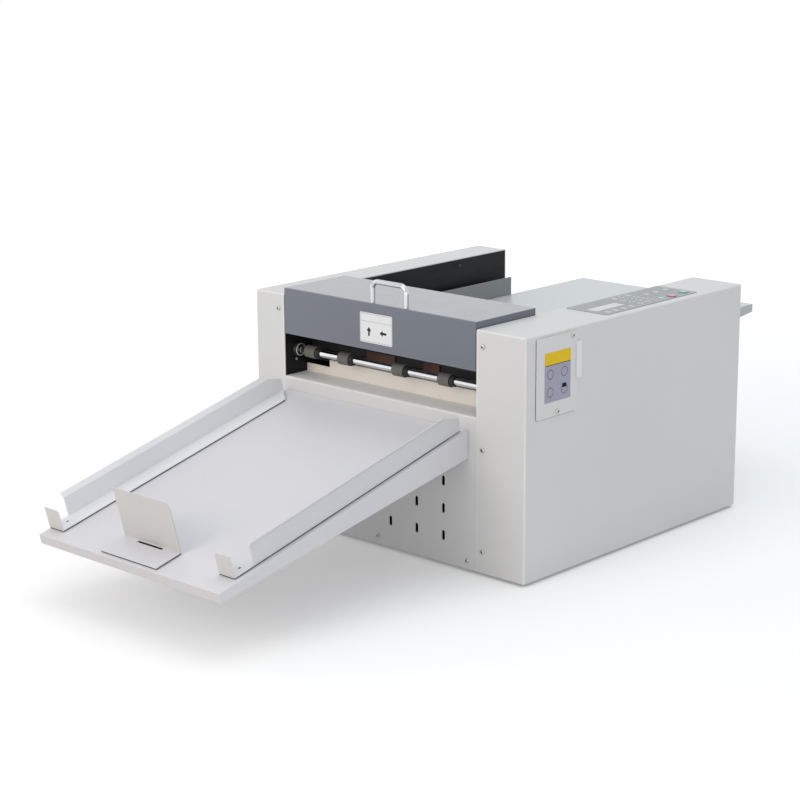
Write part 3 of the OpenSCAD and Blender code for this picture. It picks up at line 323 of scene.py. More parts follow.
def moulded_rubber(name, colour, pitch=0.0006, groove=0.00006, core=None):
    """Ground roller rubber with turned grooves round it and a dusty bloom. A core is
    (y, z, radius): inside that radius the roller is near black, which darkens its end faces."""
    f = Finish(name)
    turned = (f.axis(0) * (2 * math.pi / pitch)).sine()
    bloom = f.drift(120.0, 4.0, roughness=0.7)
    crumb = f.noise(3000.0)
    tone = f.tinted(colour, bloom * 0.4 + (crumb - 0.5) * 0.15)
    # Near black inside the core's radius, so the roller's end faces come out dark
    if core is not None:
        dy, dz = f.axis(1) - core[0], f.axis(2) - core[1]
        square = core[2] * core[2]
        rubber = (dy * dy + dz * dz).ramp(square * 0.96, square * 1.04)
        tone = f.mix((0.02, 0.02, 0.021, 1), tone, rubber)
    return f.done(tone, 0.72 + bloom * 0.2, (turned * 0.4 + crumb * 0.6, groove))


def moulded_plastic(name, colour, roughness=0.38, texture=0.00001, sheen=0.0):
    """Injection moulded plastic with a fine spark-eroded grain."""
    f = Finish(name)
    grain = f.noise(2600.0)
    speck, flow = grain - 0.5, f.drift(24.0)
    return f.done(f.tinted(colour, flow * 0.10 + speck * 0.05),
                  roughness + flow * 0.10 + speck * 0.06, (grain, texture),
                  Coat_Weight=sheen + flow * 0.02)


def laminate(name, colour):
    """Brown phenolic sheet: cloth weave pressed in resin, with brown stains."""
    f = Finish(name)
    weave = (f.axis(0) * 5200.0).sine() * (f.axis(2) * 5200.0).sine()
    stain = f.drift(60.0, 4.0, roughness=0.65)
    return f.done(f.tinted(colour, weave * 0.06 + stain * 0.5),
                  0.42 + stain * 0.2 + weave * 0.05, (weave, 0.00002))


def sintered_bronze(name, colour):
    """Oil-soaked sintered bronze with open pores."""
    f = Finish(name)
    pits = f.noise(3400.0, 3.0).ramp(0.32, 0.45)
    oil = f.drift(150.0, 3.0)
    return f.done(f.tinted(colour, (pits - 1.0) * 0.2 + oil * 0.25), 0.38 + oil * 0.2,
                  (pits, 0.00003), Metallic=0.9)


def circuit_green(name, colour):
    """Solder-resisted board with copper tracks showing through."""
    f = Finish(name)
    pads = {"Vector": f.place, "Color1": BLACK, "Color2": (0.35, 0.35, 0.35, 1),
            "Mortar": WHITE, "Scale": 160.0, "Mortar Size": 0.05}
    cells = f.node("ShaderNodeTexBrick", {"offset": 0.37}, pads)
    tracks = f.node("ShaderNodeSeparateColor", None, {0: cells})
    vias = f.noise(800.0).ramp(0.72, 0.76)
    board = f.tinted(colour, tracks * 0.18 - 0.05)
    return f.done(f.mix(board, (0.62, 0.60, 0.52, 1), vias), 0.30 + vias * 0.1,
                  (tracks, 0.00005))


def motor_stack(name, colour, pitch=0.0007):
    """Black painted motor body with the edges of laminations stacked along X."""
    f = Finish(name)
    sheets = (f.axis(0) * (2 * math.pi / pitch)).sine()
    grime = f.drift(60.0, 4.0)
    return f.done(f.tinted(colour, sheets * 0.10 + grime * 0.4), 0.46 + grime * 0.2,
                  (sheets, 0.00008), Metallic=0.25)


def keypad_film(name, colour, low, high):
    """Embossed membrane film: a dark field with a paler printed line inside its edge."""
    f = Finish(name)
    line = f.inset(low, high, 0, 1).near(0.0032, 0.0003, 0.0006)
    emboss = f.noise(2600.0)
    tone = f.tinted(colour, f.drift(40.0, 3.0) * 0.2)
    return f.done(f.mix(tone, (0.50, 0.53, 0.54, 1), line), 0.44 + (emboss - 0.5) * 0.16,
                  (emboss, 0.000015))


def display_glass(name, low, high):
    """Pale liquid crystal display behind its window, with rows of blank cells."""
    f = Finish(name)
    cell_x = ((f.axis(0) - low.x) / 0.0045 % 1.0).near(0.5, 0.40, 0.46)
    cell_y = ((f.axis(1) - low.y) / 0.0030 % 1.0).near(0.5, 0.38, 0.44)
    rim = f.inset(low, high, 0, 1).ramp(0.0010, 0.0014, 1.0, 0.0)
    glow = f.mix((0.43, 0.41, 0.46, 1), (0.38, 0.36, 0.41, 1), cell_x * cell_y)
    return f.done(f.mix(glow, (0.34, 0.34, 0.37, 1), rim), 0.12 + f.noise(70.0, 3.0) * 0.06,
                  Coat_Weight=0.8 + rim * 0.1)


def label_film(name, low, high, divider_z):
    """White polyester label: a thin printed frame and a dividing line, left bare."""
    f = Finish(name)
    inside = f.inset(low, high, 0, 2)
    divide = f.axis(2).near(divider_z, *PRINTED_LINE) * (inside > 0.0016)
    ink = inside.near(0.0016, *PRINTED_LINE).largest(divide)
    dust = f.drift(300.0, 4.0, roughness=0.7)
    paper = f.tinted((0.735, 0.745, 0.755), dust * 0.05)
    return f.done(f.mix(paper, (0.10, 0.10, 0.11, 1), ink * 0.75), 0.30 + dust * 0.15,
                  (f.noise(60.0), 0.00002))


def function_film(name, band_z, low, high):
    """Film on the service plate: a plain yellow band over a grey speckled field."""
    f = Finish(name)
    z = f.axis(2)
    speck = f.drift(1500.0)
    centre = f.axis(1).near((low.y + high.y) / 2, 0.0001, 0.0003) * (z < band_z)
    grey = f.tinted((0.345, 0.35, 0.43), speck * 0.35 - centre * 0.12)
    yellow = f.tinted((0.74, 0.50, 0.005), speck * 0.10)
    sheet = f.mix(grey, yellow, (z - band_z).ramp(-0.00012, 0.00012))
    line = z.near(band_z, 0.0004, 0.0006) * (f.inset(low, high, 1, 2) > 0.0004)
    return f.done(f.mix(sheet, (0.03, 0.03, 0.03, 1), line), 0.46 + speck * 0.2,
                  (speck, 0.00001), Specular_IOR_Level=0.2)


def printed_ink(name, colour):
    """Matt screen ink, a little worn."""
    f = Finish(name)
    wear = f.drift(1800.0, 3.0)
    return f.done(f.tinted(colour, wear * 0.25), 0.55 + wear * 0.2, Specular_IOR_Level=0.1)


def soft_key(name, colour, high_z):
    """Domed key: a clear lacquered cap that is paler on its crown, a painted highlight."""
    f = Finish(name)
    # Painted highlight: the crown of the cap is made paler
    crown = f.axis(2).ramp(high_z - 0.0012, high_z)
    flow = f.drift(500.0)
    return f.done(f.tinted(colour, crown * 0.2 + flow * 0.08), 0.26 + flow * 0.1,
                  Coat_Weight=0.5 + flow * 0.1)


def key_film(name, colour):
    """Lacquered print on the membrane keys."""
    f = Finish(name)
    grain = f.drift(900.0, 3.0)
    return f.done(f.tinted(colour, grain * 0.2), 0.34 + grain * 0.2,
                  Coat_Weight=0.3 + grain * 0.1)


# ---------------------------------------------------------------- piece building


def new_piece(name, vertices, faces, finish, body=None, slot=None):
    """A mesh piece whose place is in its vertices."""
    mesh = bpy.data.meshes.new(name)
    mesh.from_pydata([tuple(v) for v in vertices], [], faces)
    mesh.update()
    piece = bpy.data.objects.new(name, mesh)
    bpy.context.scene.collection.objects.link(piece)
    if finish is not None:
        mesh.materials.append(finish)
    if body:
        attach(piece, body)
    return piece


def coat(finish, *nodes):
    """Gives CAD nodes a finish."""
    for name in nodes:
        piece = frame["nodes"][name]
        if not piece.material_slots:
            piece.data.materials.append(None)
        for entry in piece.material_slots:
            entry.material = finish


def slot_of(node):
    rows = frame["record"]["subparts"]
    return next(r["material_slot"] for r in rows if r["node"] == node)


def middle(low, high):
    return (low + high) / 2


def plain_lists(mesh):
    """Corners and faces of a bmesh, which is then freed."""
    mesh.verts.index_update()
    vertices = [v.co.copy() for v in mesh.verts]
    faces = [[v.index for v in face.verts] for face in mesh.faces]
    mesh.free()
    return vertices, faces


def evaluated(piece, every_layer=False):
    """Replaces a piece's mesh by what its modifiers make of it."""
    depsgraph = bpy.context.evaluated_depsgraph_get()
    plain = bpy.data.meshes.new_from_object(
        piece.evaluated_get(depsgraph), preserve_all_data_layers=every_layer,
        depsgraph=depsgraph)
    piece.modifiers.clear()
    piece.data = plain


def welded(node, distance):
    """A CAD node as a bmesh with its corners joined."""
    mesh = bmesh.new()
    mesh.from_mesh(frame["nodes"][node].data)
    bmesh.ops.remove_doubles(mesh, verts=mesh.verts, dist=distance)
    return mesh


def eased(node, finish, width, angle=32.0):
    """A copy of a CAD node with its edges eased, which stands for the node."""
    mesh = welded(node, 2e-6)
    bmesh.ops.dissolve_limit(mesh, angle_limit=FLAT, verts=mesh.verts, edges=mesh.edges)
    piece = new_piece(node + "_eased", *plain_lists(mesh), finish)
    piece.data.shade_smooth()
    bevel = piece.modifiers.new("edge", "BEVEL")
    bevel.width = width
    bevel.segments = 2
    bevel.limit_method = "ANGLE"
    bevel.angle_limit = math.radians(angle)
    bevel.harden_normals = True
    bevel.use_clamp_overlap = True
    evaluated(piece)
    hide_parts(node)
    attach(piece, frame["nodes"][node]["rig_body"])
    return piece


def repaint(piece, finish, chosen):
    """Gives the faces that a test chooses a finish of their own."""
    mesh = piece.data
    mesh.materials.append(finish)
    for face in mesh.polygons:
        if chosen(face):
            face.material_index = len(mesh.materials) - 1


def repaint_layer(piece, finish, low, high):
    """Gives the faces between two heights of a piece that lies on the tray another finish."""
    slope = math.atan2(*tray_rise())

    def above(point):
        return point.z * math.cos(slope) - point.y * math.sin(slope)

    base = min(above(v.co) for v in piece.data.vertices)
    repaint(piece, finish, lambda face: low <= above(face.center) - base < high)


def tray_rise():
    """Rise and run of the tray's surface, from its lip to its upper edge."""
    points = [v.co for v in frame["nodes"]["delivery_tray"].data.vertices]
    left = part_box("delivery_tray")[0].x
    mouth = [p for p in points if p.x < left + 0.0001]
    front = max(mouth, key=lambda p: p.z - 2.0 * p.y)
    back = max(mouth, key=lambda p: p.z)
    return back.z - front.z, back.y - front.y


def circle(radius, height, segments):
    turns = [math.tau * k / segments for k in range(segments)]
    return [(radius * math.cos(turn), radius * math.sin(turn), height) for turn in turns]


def round_corners(width, length, corner, reach, steps=5):
    """Corners, anticlockwise, of a rectangle round zero; reach is how far they stand out
    from the centres of its rounded corners."""
    outline = []
    for side_x, side_y, start in ((1, 1, 0), (-1, 1, 90), (-1, -1, 180), (1, -1, 270)):
        for k in range(steps):
            turn = math.radians(start + 90 * k / (steps - 1))
            outline.append((side_x * (width / 2 - corner) + reach * math.cos(turn),
                            side_y * (length / 2 - corner) + reach * math.sin(turn)))
    return outline


def stacked(rings):
    """Corners of equal rings, and the faces that join each ring to the next."""
    n = len(rings[0])
    faces = [(k + i, k + (i + 1) % n, k + n + (i + 1) % n, k + n + i)
             for k in range(0, n * (len(rings) - 1), n) for i in range(n)]
    return [point for ring in rings for point in ring], faces


def prism(back, front):
    """A solid between two equal rings that run anticlockwise, seen from the front."""
    vertices, faces = stacked([back, front])
    n = len(back)
    return vertices, [*faces, tuple(reversed(range(n))), tuple(range(n, 2 * n))]


def gathered(parts):
    """Several pairs of corners and faces as one pair."""
    vertices, faces = [], []
    for corners, sides in parts:
        start = len(vertices)
        vertices += corners
        faces += [[start + k for k in side] for side in sides]
    return vertices, faces


def flat_ring(inner, outer, height, segments):
    """A flat ring standing at height zero."""
    profile = ((inner, 0), (inner, height), (outer, height), (outer, 0), (inner, 0))
    return stacked([circle(radius, z, segments) for radius, z in profile])


def islands(node):
    """The corners of each separate solid of a CAD node."""
    mesh = welded(node, 1e-6)
    left = set(mesh.verts)
    found = []
    while left:
        group, edge = [], [left.pop()]
        while edge:
            v = edge.pop()
            group.append(v.co.copy())
            for other in (e.other_vert(v) for e in v.link_edges):
                if other in left:
                    left.remove(other)
                    edge.append(other)
        found.append(group)
    mesh.free()
    return sorted(found, key=lambda g: [round(min(p[k] for p in g), 5) for k in range(3)])


def cross_outline(arm, half):
    """Corners of a plus sign, anticlockwise."""
    quarter = [(arm, -half), (arm, half), (half, half)]
    return [*quarter, *((-y, x) for x, y in quarter), *((-x, -y) for x, y in quarter),
            *((y, -x) for x, y in quarter)]


def pan_head(radius, height, arm, half, depth):
    """A pan head with a cross recess, standing on its seat at height zero."""
    bm = bmesh.new()
    profile = ((radius, 0.0), (radius, height * 0.45), (radius * 0.9, height * 0.75),
               (radius * 0.68, height * 0.93), (radius * 0.52, height))
    cross = cross_outline(arm, half)
    rings = [circle(r, z, 28) for r, z in profile]
    mouth = [(x, y, height) for x, y in cross]
    floor = [(x * 0.55, y * 0.55, height - depth) for x, y in cross]
    *rings, mouth, floor = ([bm.verts.new(p) for p in ring] for ring in (*rings, mouth, floor))

    def join(low, high):
        for k in range(len(low)):
            n = (k + 1) % len(low)
            bm.faces.new((low[k], low[n], high[n], high[k]))

    for low, high in zip(rings, rings[1:]):
        join(low, high)
    bm.faces.new(list(reversed(rings[0])))
    rim = rings[-1]
    edges = [bm.edges.get((v, rim[(k + 1) % len(rim)])) for k, v in enumerate(rim)]
    edges += [bm.edges.new((v, mouth[(k + 1) % len(mouth)])) for k, v in enumerate(mouth)]
    bmesh.ops.triangle_fill(bm, use_beauty=True, use_dissolve=False, edges=edges)
    join(mouth, floor)
    bm.faces.new(floor)
    bmesh.ops.recalc_face_normals(bm, faces=bm.faces)
    return plain_lists(bm)


def rounded_pad(width, length, height, corner, crown):
    """A round-cornered key with a domed top, standing at height zero."""
    layers = []
    for inset, z in ((0, 0), (0, height * 0.6), (crown * 0.4, height * 0.9), (crown, height)):
        reach = corner - min(inset, corner * 0.8)
        layers.append([(x, y, z) for x, y in round_corners(width, length, corner, reach)])
    vertices, faces = stacked(layers)
    count, top = len(layers[0]), len(vertices)
    last = top - count
    vertices.append((0, 0, height + crown * 0.25))
    faces += [(last + i, last + (i + 1) % count, top) for i in range(count)]
    faces.append(tuple(reversed(range(count))))
    return vertices, faces


# ---------------------------------------------------------------- geometry nodes


class Tree(Graph):
    """A Geometry Nodes tree that grows painted pieces. Each socket that it asks for is a
    name, a kind and a value."""

    def __init__(self, name, *asked):
        super().__init__(bpy.data.node_groups.new(name, "GeometryNodeTree"))
        face = self.tree.interface
        for label, kind, value in (("Geometry", "Geometry", None), *asked,
                                   ("Finish", "Material", None)):
            socket = face.new_socket(label, in_out="INPUT", socket_type="NodeSocket" + kind)
            if value is not None:
                socket.default_value = value
        face.new_socket("Geometry", in_out="OUTPUT", socket_type="NodeSocketGeometry")
        self.group = self.tree.nodes.new("NodeGroupInput")

    def given(self, label):
        return Value(self, self.group.outputs[label])

    def ended(self, instances):
        """Realizes the instances, paints them and hands them out."""
        real = self.node("GeometryNodeRealizeInstances", None, {"Geometry": instances})
        painted = self.node("GeometryNodeSetMaterial", None,
                            {"Geometry": real, "Material": self.given("Finish")})
        out = self.tree.nodes.new("NodeGroupOutput")
        self.tree.links.new(painted.socket, out.inputs["Geometry"])
        return self.tree


def spread_tree():
    """Puts a master piece on every point of a mesh, along the point's facing attribute."""
    g = Tree("spread_pieces", ("Master", "Object", None), ("Size", "Float", 1.0),
             ("Largest twist", "Float", 0.0), ("Seed", "Int", 7))
    master = g.node("GeometryNodeObjectInfo", {"transform_space": "ORIGINAL"},
                    {"Object": g.given("Master")}, "Geometry")
    facing = g.node("GeometryNodeInputNamedAttribute", {"data_type": "FLOAT_VECTOR"},
                    {"Name": "facing"}, "Attribute")
    aim = g.node("FunctionNodeAlignRotationToVector", {"axis": "Z"}, {"Vector": facing})
    chance = g.node("FunctionNodeRandomValue", {"data_type": "FLOAT"},
                    {2: 0.0, 3: g.given("Largest twist"), "Seed": g.given("Seed")}, 1)
    turn = g.node("FunctionNodeAxisAngleToRotation", None, {"Axis": (0, 0, 1), "Angle": chance})
    whole = g.node("FunctionNodeRotateRotation", {"rotation_space": "LOCAL"},
                   {"Rotation": aim, "Rotate By": turn})
    points = g.node("GeometryNodeInstanceOnPoints", None,
                    {"Points": g.given("Geometry"), "Instance": master, "Rotation": whole})
    size = g.node("ShaderNodeCombineXYZ", None, dict.fromkeys(range(3), g.given("Size")))
    return g.ended(g.node("GeometryNodeScaleInstances", None,
                          {"Instances": points, "Scale": size}))


def coil_tree():
    """Winds a round wire spring upwards from every point of a mesh."""
    g = Tree("wind_springs", ("Coil radius", "Float", 0.0035), ("Wire radius", "Float", 0.0005),
             ("Height", "Float", 0.014), ("Turns", "Float", 6.0))
    radius = g.given("Coil radius")
    spiral = g.node("GeometryNodeCurveSpiral", None,
                    {"Resolution": 18, "Rotations": g.given("Turns"), "Start Radius": radius,
                     "End Radius": radius, "Height": g.given("Height")})
    wire = g.node("GeometryNodeCurvePrimitiveCircle", {"mode": "RADIUS"},
                  {"Resolution": 8, "Radius": g.given("Wire radius")})
    coil = g.node("GeometryNodeCurveToMesh", None,
                  {"Curve": spiral, "Profile Curve": wire, "Fill Caps": True})
    return g.ended(g.node("GeometryNodeInstanceOnPoints", None,
                          {"Points": g.given("Geometry"), "Instance": coil}))


def grown(name, tree, places, inputs, body, slot, facing=None):
    """Runs a tree on a set of points and keeps the result as one plain mesh."""
    piece = new_piece(name, places, [], None, body, slot)
    if facing is not None:
        layer = piece.data.attributes.new("facing", "FLOAT_VECTOR", "POINT")
        layer.data.foreach_set("vector", [c for v in facing for c in v])
    modifier = piece.modifiers.new("grow", "NODES")
    modifier.node_group = tree
    keys = {s.name: s.identifier for s in tree.interface.items_tree
            if s.item_type == "SOCKET" and s.in_out == "INPUT"}
    for label, value in inputs.items():
        modifier[keys[label]] = value
    evaluated(piece, every_layer=True)
    if not piece.data.polygons:
        raise RuntimeError(f"{name} came out empty")
    return piece


def master_piece(name, vertices, faces, smooth=True):
    """A piece that only lends its mesh to a tree."""
    piece = new_piece(name, vertices, faces, None)
    if smooth:
        piece.data.shade_smooth()
        piece.data.set_sharp_from_angle(angle=math.radians(38))
    return piece


def put_away(piece):
    mesh = piece.data
    bpy.data.objects.remove(piece)
    bpy.data.meshes.remove(mesh)


# ---------------------------------------------------------------- settings


def colour_prop(label, words, value):
    return bpy.props.FloatVectorProperty(
        name=label, description=words, subtype="COLOR", size=3, min=0, max=1, default=value
    )


def length_prop(label, words, value):
    return bpy.props.FloatProperty(
        name=label, description=words, unit="LENGTH", default=value)


class CREASE_Colours(bpy.types.PropertyGroup):
    """Colours of the finishes, as linear values."""

    casing: colour_prop("Casing", "Paint of the casings and front panel", (0.645, 0.645, 0.64))
    cover: colour_prop("Cover", "Paint of the hinged cover", (0.100, 0.115, 0.152))
    tray: colour_prop("Tray", "Paint of the delivery tray", (0.655, 0.655, 0.685))
    rail: colour_prop("Rails", "Paint of the tray's side rails", (0.65, 0.655, 0.68))
    table: colour_prop("Table", "Paint of the feed table", (0.545, 0.578, 0.59))
    guide: colour_prop("Guide plate", "Cream plate under the delivery rollers",
                       (0.83, 0.765, 0.71))
    stop: colour_prop("End stop", "Bare sheet of the end stop", (0.56, 0.555, 0.545))
    frame: colour_prop("Side frames", "Coating of the side frames", (0.007, 0.0074, 0.0084))
    feed_guide: colour_prop("Feed guides", "Paint of the feed guides", (0.25, 0.262, 0.268))
    roller: colour_prop("Rollers", "Rubber of the delivery rollers", (0.132, 0.130, 0.115))
    keypad: colour_prop("Keypad", "Film of the keypad", (0.30, 0.318, 0.325))


class CREASE_Sizes(bpy.types.PropertyGroup):
    """Sizes of the fine pieces, in metres, and the light."""

    screw_radius: length_prop("Screw head", "Radius of the pan heads", 0.0035)
    screw_height: length_prop("Head height", "Height of the pan heads", 0.0022)
    recess_arm: length_prop("Recess arm", "Half the length of the cross recess", 0.0023)
    sheet_edge: length_prop("Sheet edge", "Easing of the cut sheet edges", 0.0004)
    key_width: length_prop("Key width", "Width of a membrane key", 0.0098)
    key_length: length_prop("Key length", "Length of a membrane key", 0.0078)
    ring_radius: length_prop("Ring", "Radius of the rings on the service plate", 0.0065)
    light: bpy.props.FloatProperty(
        name="Light", description="Strength that the lamps share, in watts", default=26.0)
    ambient: bpy.props.FloatProperty(
        name="Ambient light", description="Strength of the light from all round", default=0.80)


def colours():
    return bpy.context.scene.crease_colours


def sizes():
    return bpy.context.scene.crease_sizes


# ---------------------------------------------------------------- operators


class Build:
    """What the operators share."""

    bl_options = {"REGISTER", "UNDO"}

    def execute(self, context):
        self.build()
        return {"FINISHED"}


# The camera solved from the edges of the casings in the photograph
CAMERA_ANGLES = (43.058, 14.145, -0.381)  # turn, tilt and roll, in degrees
CAMERA_PLACE = (1.8574, FRONT_Y - 1.9552, 0.8914)
FOCAL_LENGTH = 2038.99 / 800  # in widths of the picture
SENSOR = 36.0
WARM, COOL = (1.0, 0.88, 0.76), (0.90, 0.95, 1.0)
LAMPS = (  # name, place, size, share of the light, colour
    ("front_lamp", (-0.6, -3.2, 1.6), 1.9, 0.95, WARM),
    ("left_lamp", (-2.4, -1.0, 1.6), 1.6, 0.2, WARM),
    ("low_lamp", (1.8, -2.4, 0.5), 1.2, 0.24, WARM),
    ("top_lamp", (0.1, 0.3, 3.2), 2.4, 0.55, COOL),
)
LAMPS_AIM = Vector((0.0, 0.0, 0.15))
FLOOR_REACH, FLOOR_Z = 9.0, -0.0002


def seen_directly(graph):
    """One for the camera's rays and for those that reach it by a mirror or through glass."""
    return strongest([graph.node("ShaderNodeLightPath", output=f"Is {kind} Ray")
                      for kind in ("Camera", "Glossy", "Transmission")])


class CREASE_OT_stage(Build, bpy.types.Operator):
    """Makes the camera, the lamps, the world and the pale floor"""

    bl_idname = "crease.stage"
    bl_label = "Stage"

    def build(self):
        scene = bpy.context.scene
        scene.view_settings.view_transform = "Standard"
        self.camera(scene)
        self.world(scene)
        self.floor()
        for lamp in LAMPS:
            self.lamp(*lamp)

    def camera(self, scene):
        data = bpy.data.cameras.new("photo_camera")
        data.sensor_width = SENSOR
        data.lens = SENSOR * FOCAL_LENGTH
        data.clip_end = 50
        camera = bpy.data.objects.new("photo_camera", data)
        scene.collection.objects.link(camera)
        turn, tilt, roll = (math.radians(angle) for angle in CAMERA_ANGLES)
        matrix = Matrix.Translation(CAMERA_PLACE)
        for angle, axis in ((turn, "Z"), (math.pi / 2 - tilt, "X"), (roll, "Z")):
            matrix @= Matrix.Rotation(angle, 4, axis)
        camera.matrix_world = matrix
        scene.camera = camera

    def world(self, scene):
        world = bpy.data.worlds.new("studio")
        world.use_nodes = True
        scene.world = world
        g = Graph(world.node_tree)
        g.tree.nodes.clear()
        seen = seen_directly(g)
        tint = g.node("ShaderNodeMix", {"data_type": "RGBA"},
                      {0: seen, 6: (0.945, 0.97, 1.0, 1), 7: WHITE}, 2)
        ambient = sizes().ambient
        glow = g.node("ShaderNodeBackground", None,
                      {"Color": tint, "Strength": seen * (1.0 - ambient) + ambient})
        out = g.tree.nodes.new("ShaderNodeOutputWorld")
        g.tree.links.new(glow.socket, out.inputs["Surface"])

    def floor(self):
        """A pale floor that looks white where it is seen, and whiter far away."""
        f = Finish("pale_floor")
        mottle = f.drift(3.0, 3.0)
        x, y = f.axis(0), f.axis(1)
        far = (x * x + y * y).ramp(0.6, 9.0, 0.20, 0.70)
        fill = f.mix(BLACK, WHITE, seen_directly(f) * far)
        finish = f.done(f.tinted((0.86, 0.86, 0.86), mottle * 0.01), 0.85 + mottle * 0.05,
                        Emission_Color=fill, Emission_Strength=1.0)
        corners = [(x * FLOOR_REACH, y * FLOOR_REACH, FLOOR_Z)
                   for x, y in ((-1, -1), (1, -1), (1, 1), (-1, 1))]
        new_piece("studio_floor", corners, [(0, 1, 2, 3)], finish)

    def lamp(self, name, place, size, share, colour):
        data = bpy.data.lights.new(name, "AREA")
        data.color = colour
        data.shape = "DISK"
        data.size = size
        data.energy = sizes().light * share
        lamp = bpy.data.objects.new(name, data)
        bpy.context.scene.collection.objects.link(lamp)
        lamp.location = place
        lamp.rotation_euler = (LAMPS_AIM - lamp.location).to_track_quat("-Z", "Y").to_euler()


SHELF_LIGHT_SHARE = 1.28  # how much lighter than the panel its shelf looks, put into its paint as painted light
SHELF_DEPTH = 0.0005  # faces this near the panel's top are the shelf
PANEL_EASING = (0.6, 50)  # share of the sheet edge, and degrees that a bend may have


class CREASE_OT_casings(Build, bpy.types.Operator):
    """Paints the casings and panels"""

    bl_idname = "crease.casings"
    bl_label = "Casings and panels"

    def build(self):
        paint = colours().casing
        for node in ("left_casing", "right_casing"):
            low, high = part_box(node)
            lines = [(2, high.z, axis, end[axis]) for axis in (0, 1) for end in (low, high)]
            lines += [(0, a.x, 1, b.y) for b in (low, high) for a in (low, high)]
            coat(powder_coat(node + "_paint", paint, edges=lines), node)
        low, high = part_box("front_panel")
        panel = powder_coat("front_panel_paint", paint, edges=[(2, high.z, 1, low.y)])
        share, angle = PANEL_EASING
        front = eased("front_panel", panel, sizes().sheet_edge * share, angle)
        top = high.z - SHELF_DEPTH
        # Painted light: the shelf, one sheet with the panel, gets the panel's paint made lighter
        shelf = powder_coat("shelf_paint", shaded(paint, SHELF_LIGHT_SHARE))
        repaint(front, shelf, lambda face: face.normal.z > 0.9 and face.center.z > top)
        coat(powder_coat("rear_panel_paint", paint), "rear_panel")


class CREASE_OT_side_frames(Build, bpy.types.Operator):
    """Coats the side frames, base plate, tie bars and feet"""

    bl_idname = "crease.side_frames"
    bl_label = "Side frames and base"

    def build(self):
        coat(dark_sheet("side_frame_coat", colours().frame), "left_side_frame",
             "right_side_frame", "base_plate")
        coat(bright_metal("tie_bar_steel", (0.55, 0.55, 0.54), (1.0, 0.02, 0.02)),
             "tie_bars", "hinge_pins")
        coat(moulded_rubber("foot_rubber", (0.02, 0.02, 0.02), 0.002), "rubber_feet")


HANDLE_EDGE = 0.0002
LABEL_HEAD = 0.29  # share of the label above its dividing line
ARROW_PLACES = ((0.28, 90), (0.72, 180))  # share of the label's width, turn in degrees
ARROW_DEPTHS = (0.0001, -0.00004)  # back and front, from the label's face inwards
ARROW_RISE = 0.001
ARROW_SIZE = 0.0062
ARROW = ((-1.0, -0.25), (0.1, -0.25), (0.1, -0.7), (1.0, 0.0), (0.1, 0.7), (0.1, 0.25),
         (-1.0, 0.25))


class CREASE_OT_cover(Build, bpy.types.Operator):
    """Paints the cover, polishes its handle and makes its bare label"""

    bl_idname = "crease.cover"
    bl_label = "Cover"

    def build(self):
        low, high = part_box("cover")
        lines = [(2, high.z, 1, low.y), (2, high.z, 0, low.x), (2, high.z, 0, high.x),
                 (2, low.z, 1, low.y)]
        coat(powder_coat("cover_paint", colours().cover, 0.34, 1700.0, 0.00002, lines,
                         lacquer=1.0, lacquer_blur=0.2), "cover")
        chrome = plated_shaft("handle_chrome", (0.58, 0.60, 0.625))
        eased("cover_handle", chrome, HANDLE_EDGE)
        low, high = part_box("cover_label")
        divider = high.z - (high.z - low.z) * LABEL_HEAD
        coat(label_film("label_film", low, high, divider), "cover_label")
        self.arrows(low, high, divider)

    def arrows(self, low, high, divider):
        """Two plain arrows, which say nothing more than lift and feed."""
        height = middle(low.z, divider) + ARROW_RISE
        parts = []
        for share, degrees in ARROW_PLACES:
            centre = low.x + (high.x - low.x) * share
            cos, sin = (f(math.radians(degrees)) * ARROW_SIZE for f in (math.cos, math.sin))
            parts.append(prism(*([
                (centre + u * cos - w * sin, low.y + depth, height + u * sin + w * cos)
                for u, w in ARROW
            ] for depth in ARROW_DEPTHS)))
        new_piece("label_arrows", *gathered(parts), printed_ink("label_ink", INK), "cover",
                  slot_of("cover_label"))


MAGNET_TOP, FOOT_TOP = 0.00145, 0.0040  # heights above the tray


class CREASE_OT_tray(Build, bpy.types.Operator):
    """Eases and paints the delivery tray, its rails and the end stop"""

    bl_idname = "crease.tray"
    bl_label = "Delivery tray"

    def build(self):
        edge = sizes().sheet_edge
        tray = powder_coat("tray_paint", colours().tray, *SHEET_COAT)
        # Painted shade: the faces that look to the front get a darker copy of the tray and rail
        # paint
        lip = powder_coat("lip_paint", (0.583, 0.557, 0.565), *SHEET_COAT)
        tab = powder_coat("tab_paint", (0.58, 0.565, 0.55), *SHEET_COAT)
        stop = powder_coat("stop_paint", colours().stop, *STOP_COAT)
        foot = powder_coat("foot_paint", colours().tray, *STOP_COAT)
        magnet = magnet_sheet("magnet_sheet")

        def faces_front(face):
            return face.normal.y < -0.9

        repaint(eased("delivery_tray", tray, edge), lip, faces_front)
        # Painted light: the left rail gets the rail paint made lighter than the right one, for
        # the light on its inner wall
        for node, share in (("left_rail", 1.2), ("right_rail", 1.0)):
            paint = powder_coat(node + "_paint", shaded(colours().rail, share), *SHEET_COAT)
            rail = eased(node, paint, edge)
            repaint(rail, tab, faces_front)
            # The bottom layer of each foot is painted black: magnet sheet, and also a painted
            # shadow line under the foot
            repaint_layer(rail, magnet, 0.0, MAGNET_TOP)
        end_stop = eased("end_stop", stop, edge)
        repaint_layer(end_stop, magnet, 0.0, MAGNET_TOP)
        # Painted light: the foot of the same sheet gets a lighter paint than the upright
        repaint_layer(end_stop, foot, MAGNET_TOP, FOOT_TOP)


TABLE_SIDE_SHADE_SHARE = 0.78  # how much darker than its top the table's side looks, put into its paint as painted shade


